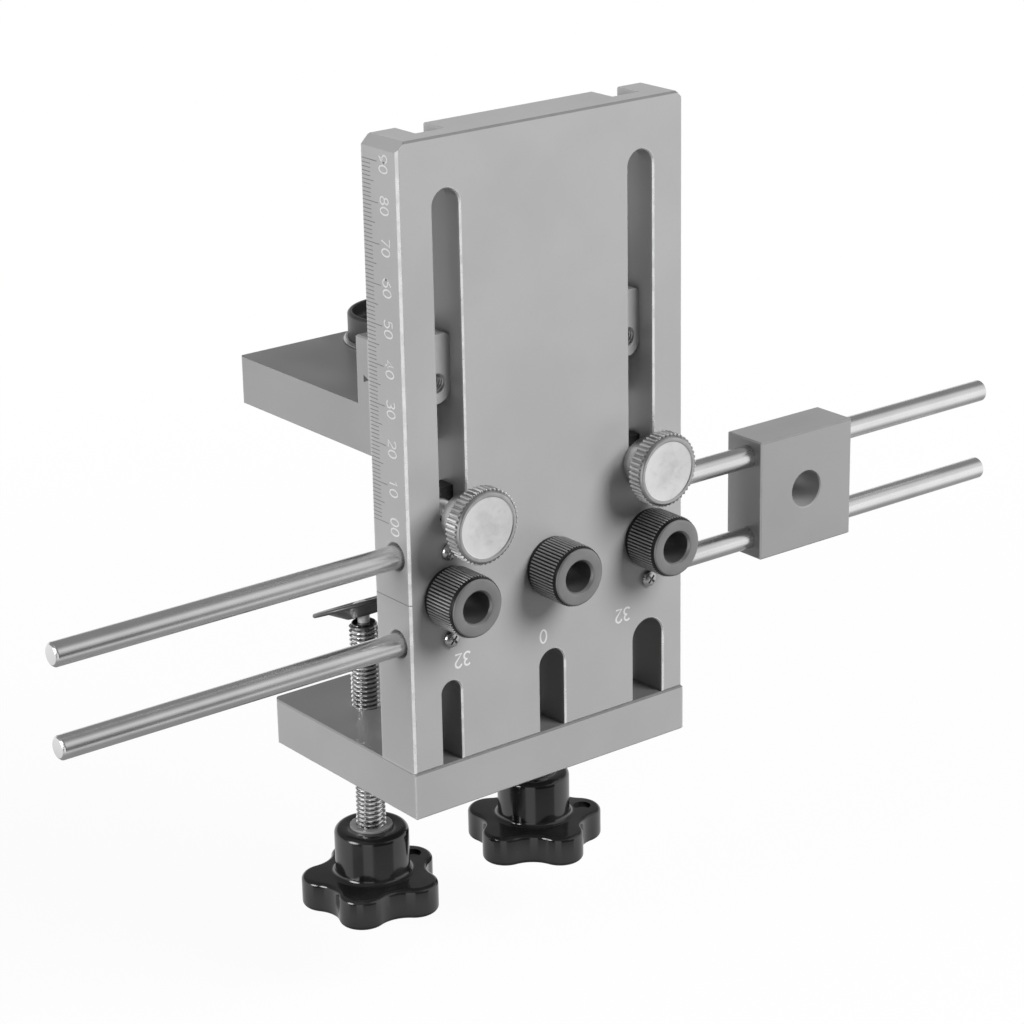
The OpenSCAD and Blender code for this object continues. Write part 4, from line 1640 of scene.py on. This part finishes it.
@dataclass(frozen=True)
class Clamp:
    """Clamp from below: threaded screw, star knob with its insert, swivel foot and rivet."""

    side: Side
    knob_turn: float
    x: float = 27.5
    y: float = 30.0
    screw_ends: tuple[float, float] = (-95.0, -21.5)
    screw_radius: float = 4.0
    lobe_top: float = -93.3
    lobe_height: float = 8.7
    edge: float = 1.3
    hub: float = 10.0
    hub_height: float = 13.3
    hub_edge: float = 1.8
    hub_fillet: float = 1.5
    insert: float = 5.2
    flange: float = 5.7
    crown: float = 1.6
    mark_place: float = 14.1
    mark_radius: float = 2.4
    mark_depth: float = 0.8
    recess: float = 0.5
    pitch: float = 1.25
    thread_depth: float = 0.72
    plain_length: float = 15.0
    chamfer: float = 1.0
    tilt: float = 24.0
    foot_height: float = 2.1
    foot_profile: tuple[tuple[float, float], ...] = (
        (-0.55, 2.2), (-0.55, 4.3), (2.25, 9.2), (2.25, 12.7), (2.8, 13.0), (3.35, 12.7),
        (3.35, 8.4), (0.55, 3.5), (0.55, 2.2),
    )
    rivet_neck: tuple[float, float] = (1.6, 4.1)
    rivet_head: tuple[float, float, float] = (2.9, 4.3, 1.2)

    def seat(self, z: float) -> Seat:
        """Upright seat on the clamp's axis."""
        return Facing.UP.at(self.side.value * self.x, self.y, z)

    def screw(self) -> Skin:
        """Threaded screw with a chamfer on top, plain inside the insert."""
        (low, high), radius, end = self.screw_ends, self.screw_radius, self.plain_length
        thread = Thread(self.pitch, radius, self.thread_depth, low + end, high - 0.01)
        rows = thread.heights(10)
        body = plain_rows(rows, np.minimum(radius, radius - self.chamfer + (high - rows)))
        plain = [[low, 0, 0], [low, radius - 0.02, 0], [low + end - 0.1, radius - 0.02, 0]]
        return turned(np.vstack([plain, body, [[high, 0, 0]]]), self.seat(0), 64, False, thread)

    def knob(self) -> Skin:
        """Lobed body and hub in one skin.

        The rows are the palm side, crowned by a share of the lobed outline's size squared, lobed
        rings drawn in by an inset, and then round rings whose points lie on the same rays.
        """
        star, angle = StarShape(), np.linspace(0, np.pi / 2, 9)
        rise, fall = 1 - np.cos(angle), 1 - np.sin(angle)
        e, low, top = self.edge, -self.lobe_height, self.hub_height
        lobed = np.stack([star.ring(inset) for inset in np.concatenate([e * fall, e * rise])])
        rays = star.ring(0.0)
        rays = rays / np.hypot(*rays.T)[:, None]
        r, f, h, flange = self.hub, self.hub_fillet, self.hub_edge, self.flange
        blind = self.screw_ends[0] - self.lobe_top
        foot = np.column_stack([r + f * fall, f * rise])
        brow = np.column_stack([r - h * rise, top - h * fall])
        inner = [
            [flange + 0.12, top], [flange, top - 0.1], [flange, top - self.recess],
            [self.insert, top - self.recess], [self.insert, blind],
        ]
        rings = np.vstack([foot, brow, inner])
        share = np.linspace(0.12, 0.97, 12)
        flat = np.concatenate([lobed[0] * share[:, None, None], lobed, rays * rings[:, :1, None]])
        palm = low - self.crown * (1 - share**2)
        level = np.concatenate([palm, low + e * rise, -e * fall, rings[:, 1]])
        turn = math.radians(self.knob_turn)
        flat = flat @ np.array([[math.cos(turn), math.sin(turn)], [-math.sin(turn), math.cos(turn)]])
        seat, none = self.seat(self.lobe_top), np.zeros(2)
        points = seat.points(flat[..., 0], flat[..., 1], level[:, None]).reshape(-1, 3)
        poles = seat.points(none, none, np.array([low - self.crown, blind]))
        points = np.vstack([points, poles])
        return Skin(points, capped_faces(*flat.shape[:2]), np.zeros(points.shape)).outward()

    def mark_cutter(self) -> Skin:
        """Round bar that cuts the mark into one lobe."""
        turn = math.radians(self.knob_turn)
        x = self.side.value * self.x + self.mark_place * math.cos(turn)
        y = self.y + self.mark_place * math.sin(turn)
        circle = arc(0, 0, self.mark_radius, self.mark_radius, 0, 355, 72)
        return prism(circle, Facing.UP.at(x, y, self.lobe_top), -self.mark_depth, 2.0)

    def metal_insert(self) -> Skin:
        """Insert with a thin flange proud of the hub."""
        low, mid, bore = self.screw_ends[0], self.lobe_top + self.hub_height, self.screw_radius
        under, high = mid - self.recess, mid + self.recess
        corners = [(low, bore), (low, self.insert), (under, self.insert), (under, self.flange)]
        corners += [(high, self.flange), (high, bore)]
        return turned(eased(corners, 0.15, True), self.seat(0), 96, True)

    def foot(self) -> Skin:
        """Dished foot, pressed from sheet and tilted about its pivot."""
        seat = self.seat(self.screw_ends[1] + self.foot_height).tipped(-self.tilt)
        return turned(eased(self.foot_profile, 0.35, True, 5), seat, 144, True)

    def rivet(self) -> Skin:
        """Rivet neck and domed head."""
        angle = np.linspace(0, np.pi / 2, 12)
        (neck, under), (head, base, rise) = self.rivet_neck, self.rivet_head
        dome = np.column_stack([base + rise * np.sin(angle), head * np.cos(angle), np.full(12, 0.4)])
        plain = [[0, 0, 0], [0, neck, 0], [under, neck, -1], [under, head, 1]]
        return turned(np.vstack([plain, dome]), self.seat(self.screw_ends[1]), 72, False)

    def build(self) -> None:
        """Adds the clamp's pieces in place of their nodes."""
        word, spindle = self.side.word, f"{self.side.word}_spindle"
        thread = PlatedSteel("clamp_thread_plating", 0.95, 0.16, 3.3, 3.7, root_tone=0.1)
        plated = PlatedSteel("clamp_plating", 0.88, 0.3, metallic=0.15)
        pressed = PlatedSteel("foot_plating", 0.24, 0.36, metallic=0.7)
        make_piece(f"{word}_clamp_thread", self.screw(), spindle, thread, f"{word}_clamp_screw")
        name, node = f"{word}_star_knob_moulded", f"{word}_star_knob"
        knob = make_piece(name, self.knob(), spindle, BlackPhenolic(), node, CUT_CREASE)
        cut_with(knob, self.mark_cutter())
        for node, way, skin, body, finish in (
            ("knob_insert", "turned", self.metal_insert(), "spindle", plated),
            ("foot", "pressed", self.foot(), "pad", pressed),
            ("foot_rivet", "domed", self.rivet(), "pivot", plated),
        ):
            make_piece(f"{word}_{node}_{way}", skin, f"{word}_{body}", finish, f"{word}_{node}")


def cut_with(piece: bpy.types.Object, cutter: Skin) -> None:
    """Cuts a skin out of a piece, and keeps its crisp edges.

    Args:
        piece: The object to cut.
        cutter: The closed skin that is taken out of it.
    """
    mesh = mesh_of("cutter", cutter)
    tool = added("cutter", mesh)
    cut = piece.modifiers.new("cut", "BOOLEAN")
    cut.operation, cut.solver, cut.object = "DIFFERENCE", "EXACT", tool
    graph = bpy.context.evaluated_depsgraph_get()
    done = bpy.data.meshes.new_from_object(piece.evaluated_get(graph), depsgraph=graph)
    piece.modifiers.clear()
    old = piece.data
    piece.data = done
    done.name = piece.name
    bpy.data.objects.remove(tool)
    bpy.data.meshes.remove(mesh)
    bpy.data.meshes.remove(old)
    smooth(done, CUT_CREASE)


# The studio


@dataclass(frozen=True)
class Lamp:
    """Large soft lamp aimed at the middle of the jig."""

    name: str
    place: tuple[float, float, float]
    width: float
    level: float
    mirrored: bool = True

    AIM = (0.0, 0.0, 0.01)

    def build(self) -> None:
        """Adds the lamp. Its power makes a white surface that faces it render at the level."""
        offset = np.array(self.place) - np.array(self.AIM)
        distance = float(np.linalg.norm(offset))
        data = bpy.data.lights.new(self.name, "AREA")
        data.shape, data.size = "DISK", self.width
        data.energy = self.level * math.pi**2 * distance**2
        lamp = added(self.name, data)
        lamp.visible_glossy = self.mirrored
        back = offset / distance
        side = np.cross((0, 0, 1), back)
        side = side / np.linalg.norm(side)
        lamp.matrix_world = placed(side, np.cross(back, side), back, self.place)


def placed(right: Array, up: Array, back: Array, place: Sequence[float]) -> Matrix:
    """Matrix of something that looks along minus back, from a place in metres.

    Args:
        right: Unit vector to its right.
        up: Unit vector upwards.
        back: Unit vector against its view.
        place: Where it stands.

    Returns:
        The matrix.
    """
    turned_to = Matrix((right, up, back)).transposed().to_4x4()
    turned_to.translation = place
    return turned_to


@dataclass(frozen=True)
class Studio:
    """White studio: camera, lamps, world and floor."""

    camera_place: tuple[float, float, float] = (-0.44022, -0.56883, 0.27044)
    yaw: float = 0.6572
    pitch: float = 0.3469
    roll: float = -0.0189
    lens: float = 105.73
    floor_level: float = -124.2
    floor_half: float = 6000.0
    floor_thickness: float = 10.0
    world_level: float = 0.14
    gaps: tuple[tuple[float, float], ...] = ((269.0, 32.0), (190.0, 17.0))
    gap_depth: float = 0.93
    box_heading: float = 312.0
    box_level: float = 0.5
    lamps: tuple[Lamp, ...] = (
        Lamp("key_lamp", (0.7, -1.5, 1.3), 1.25, 1.16, mirrored=False),
        Lamp("left_lamp", (-1.7, 0.12, 0.42), 0.9, 0.62),
    )

    def camera(self) -> None:
        """Adds the camera. It looks along f, with r to its right before it rolls."""
        sy, cy = math.sin(self.yaw), math.cos(self.yaw)
        sp, cp = math.sin(self.pitch), math.cos(self.pitch)
        f, r = np.array([sy * cp, cy * cp, -sp]), np.array([cy, -sy, 0.0])
        u = np.cross(r, f)
        c, s = math.cos(self.roll), math.sin(self.roll)
        data = bpy.data.cameras.new("photo_camera")
        data.sensor_width, data.lens = 36.0, self.lens
        data.clip_start, data.clip_end = 0.02, 50.0
        camera = added("photo_camera", data)
        camera.matrix_world = placed(c * r + s * u, -s * r + c * u, -f, self.camera_place)
        bpy.context.scene.camera = camera

    def tent(self, bench: Bench) -> Signal:
        """Level of the light tent that shiny surfaces mirror.

        It is white near the horizon and falls off upwards and downwards. Two soft gaps in it, which
        are directions close to a heading, are dark. A dim soft box hangs in front, above the jig.

        Args:
            bench: Where the nodes are laid out.

        Returns:
            The level.
        """
        x, y, z = bench.split(bench.node("TexCoord").outputs["Generated"])
        flat = (x * x + y * y + 1e-6).root()

        def toward(heading: float) -> Signal:
            """Cosine of the angle between a direction's heading and this one."""
            angle = math.radians(heading)
            return (x * math.cos(angle) + y * math.sin(angle)) / flat

        level = 1.0 - 0.75 * z.ramp(0.1, 0.34) - 0.7 * z.ramp(-0.25, -0.75)
        low = abs(z).ramp(0.5, 0.25)
        for heading, half_width in self.gaps:
            ends = (math.cos(math.radians(half_width + e)) for e in (3.0, -3.0))
            level = level * (1.0 - self.gap_depth * toward(heading).ramp(*ends) * low)
        box = toward(self.box_heading).ramp(0.7, 0.95) * z.ramp(0.05, 0.3) * z.ramp(0.9, 0.6)
        return level + self.box_level * box

    def world(self) -> None:
        """World that is white for the camera, a light tent for reflections, and dim as a lamp."""
        world = bpy.data.worlds.new("studio_world")
        bench = Bench(world)
        path = bench.node("LightPath").outputs
        seen = Signal(bench, path["Is Camera Ray"]).most(Signal(bench, path["Is Transmission Ray"]))
        glossy = Signal(bench, path["Is Glossy Ray"])
        tent = glossy * (1.0 - seen) * self.tent(bench)
        strength = self.world_level * (1.0 - seen.most(glossy)) + seen + tent
        glow = bench.node("Background", None, {"Color": grey(1.0), "Strength": strength})
        bench.node("OutputWorld", None, {"Surface": glow.outputs[0]})
        bpy.context.scene.world = world

    def floor(self) -> None:
        """White floor that keeps the jig's soft shadow and turns pure white further off."""
        half, top = self.floor_half, self.floor_level
        corners = np.array([[[-half, -half, top - self.floor_thickness]], [[half, half, top]]])
        mesh = mesh_of("studio_floor", boxes(*corners))
        mesh.materials.append(Paper().material())
        floor = added("studio_floor", mesh)
        floor.visible_glossy = False
        floor.visible_diffuse = False

    def build(self) -> None:
        """Sets up the whole studio."""
        bpy.context.scene.view_settings.view_transform = "Standard"
        self.camera()
        self.world()
        self.floor()
        for lamp in self.lamps:
            lamp.build()


def main() -> None:
    """Builds the studio and every sub-assembly."""
    logging.basicConfig(level=logging.INFO, format="%(name)s %(message)s")
    Studio().build()
    BodyPlate().build()
    BasePlate().build()
    for place, x in (("left", -32.0), ("centre", 0.0), ("right", 32.0)):
        DrillBush(place, x).build()
    GuideRod("upper", 11.5).build()
    GuideRod("lower", -11.5).build()
    IndexBlock().build()
    Fence().build()
    CamBush().build()
    ThumbScrew(Side.LEFT, 17.0).build()
    ThumbScrew(Side.RIGHT, 14.0).build()
    Clamp(Side.LEFT, 5.5).build()
    Clamp(Side.RIGHT, -22.0).build()


if __name__ == "__main__":
    main()
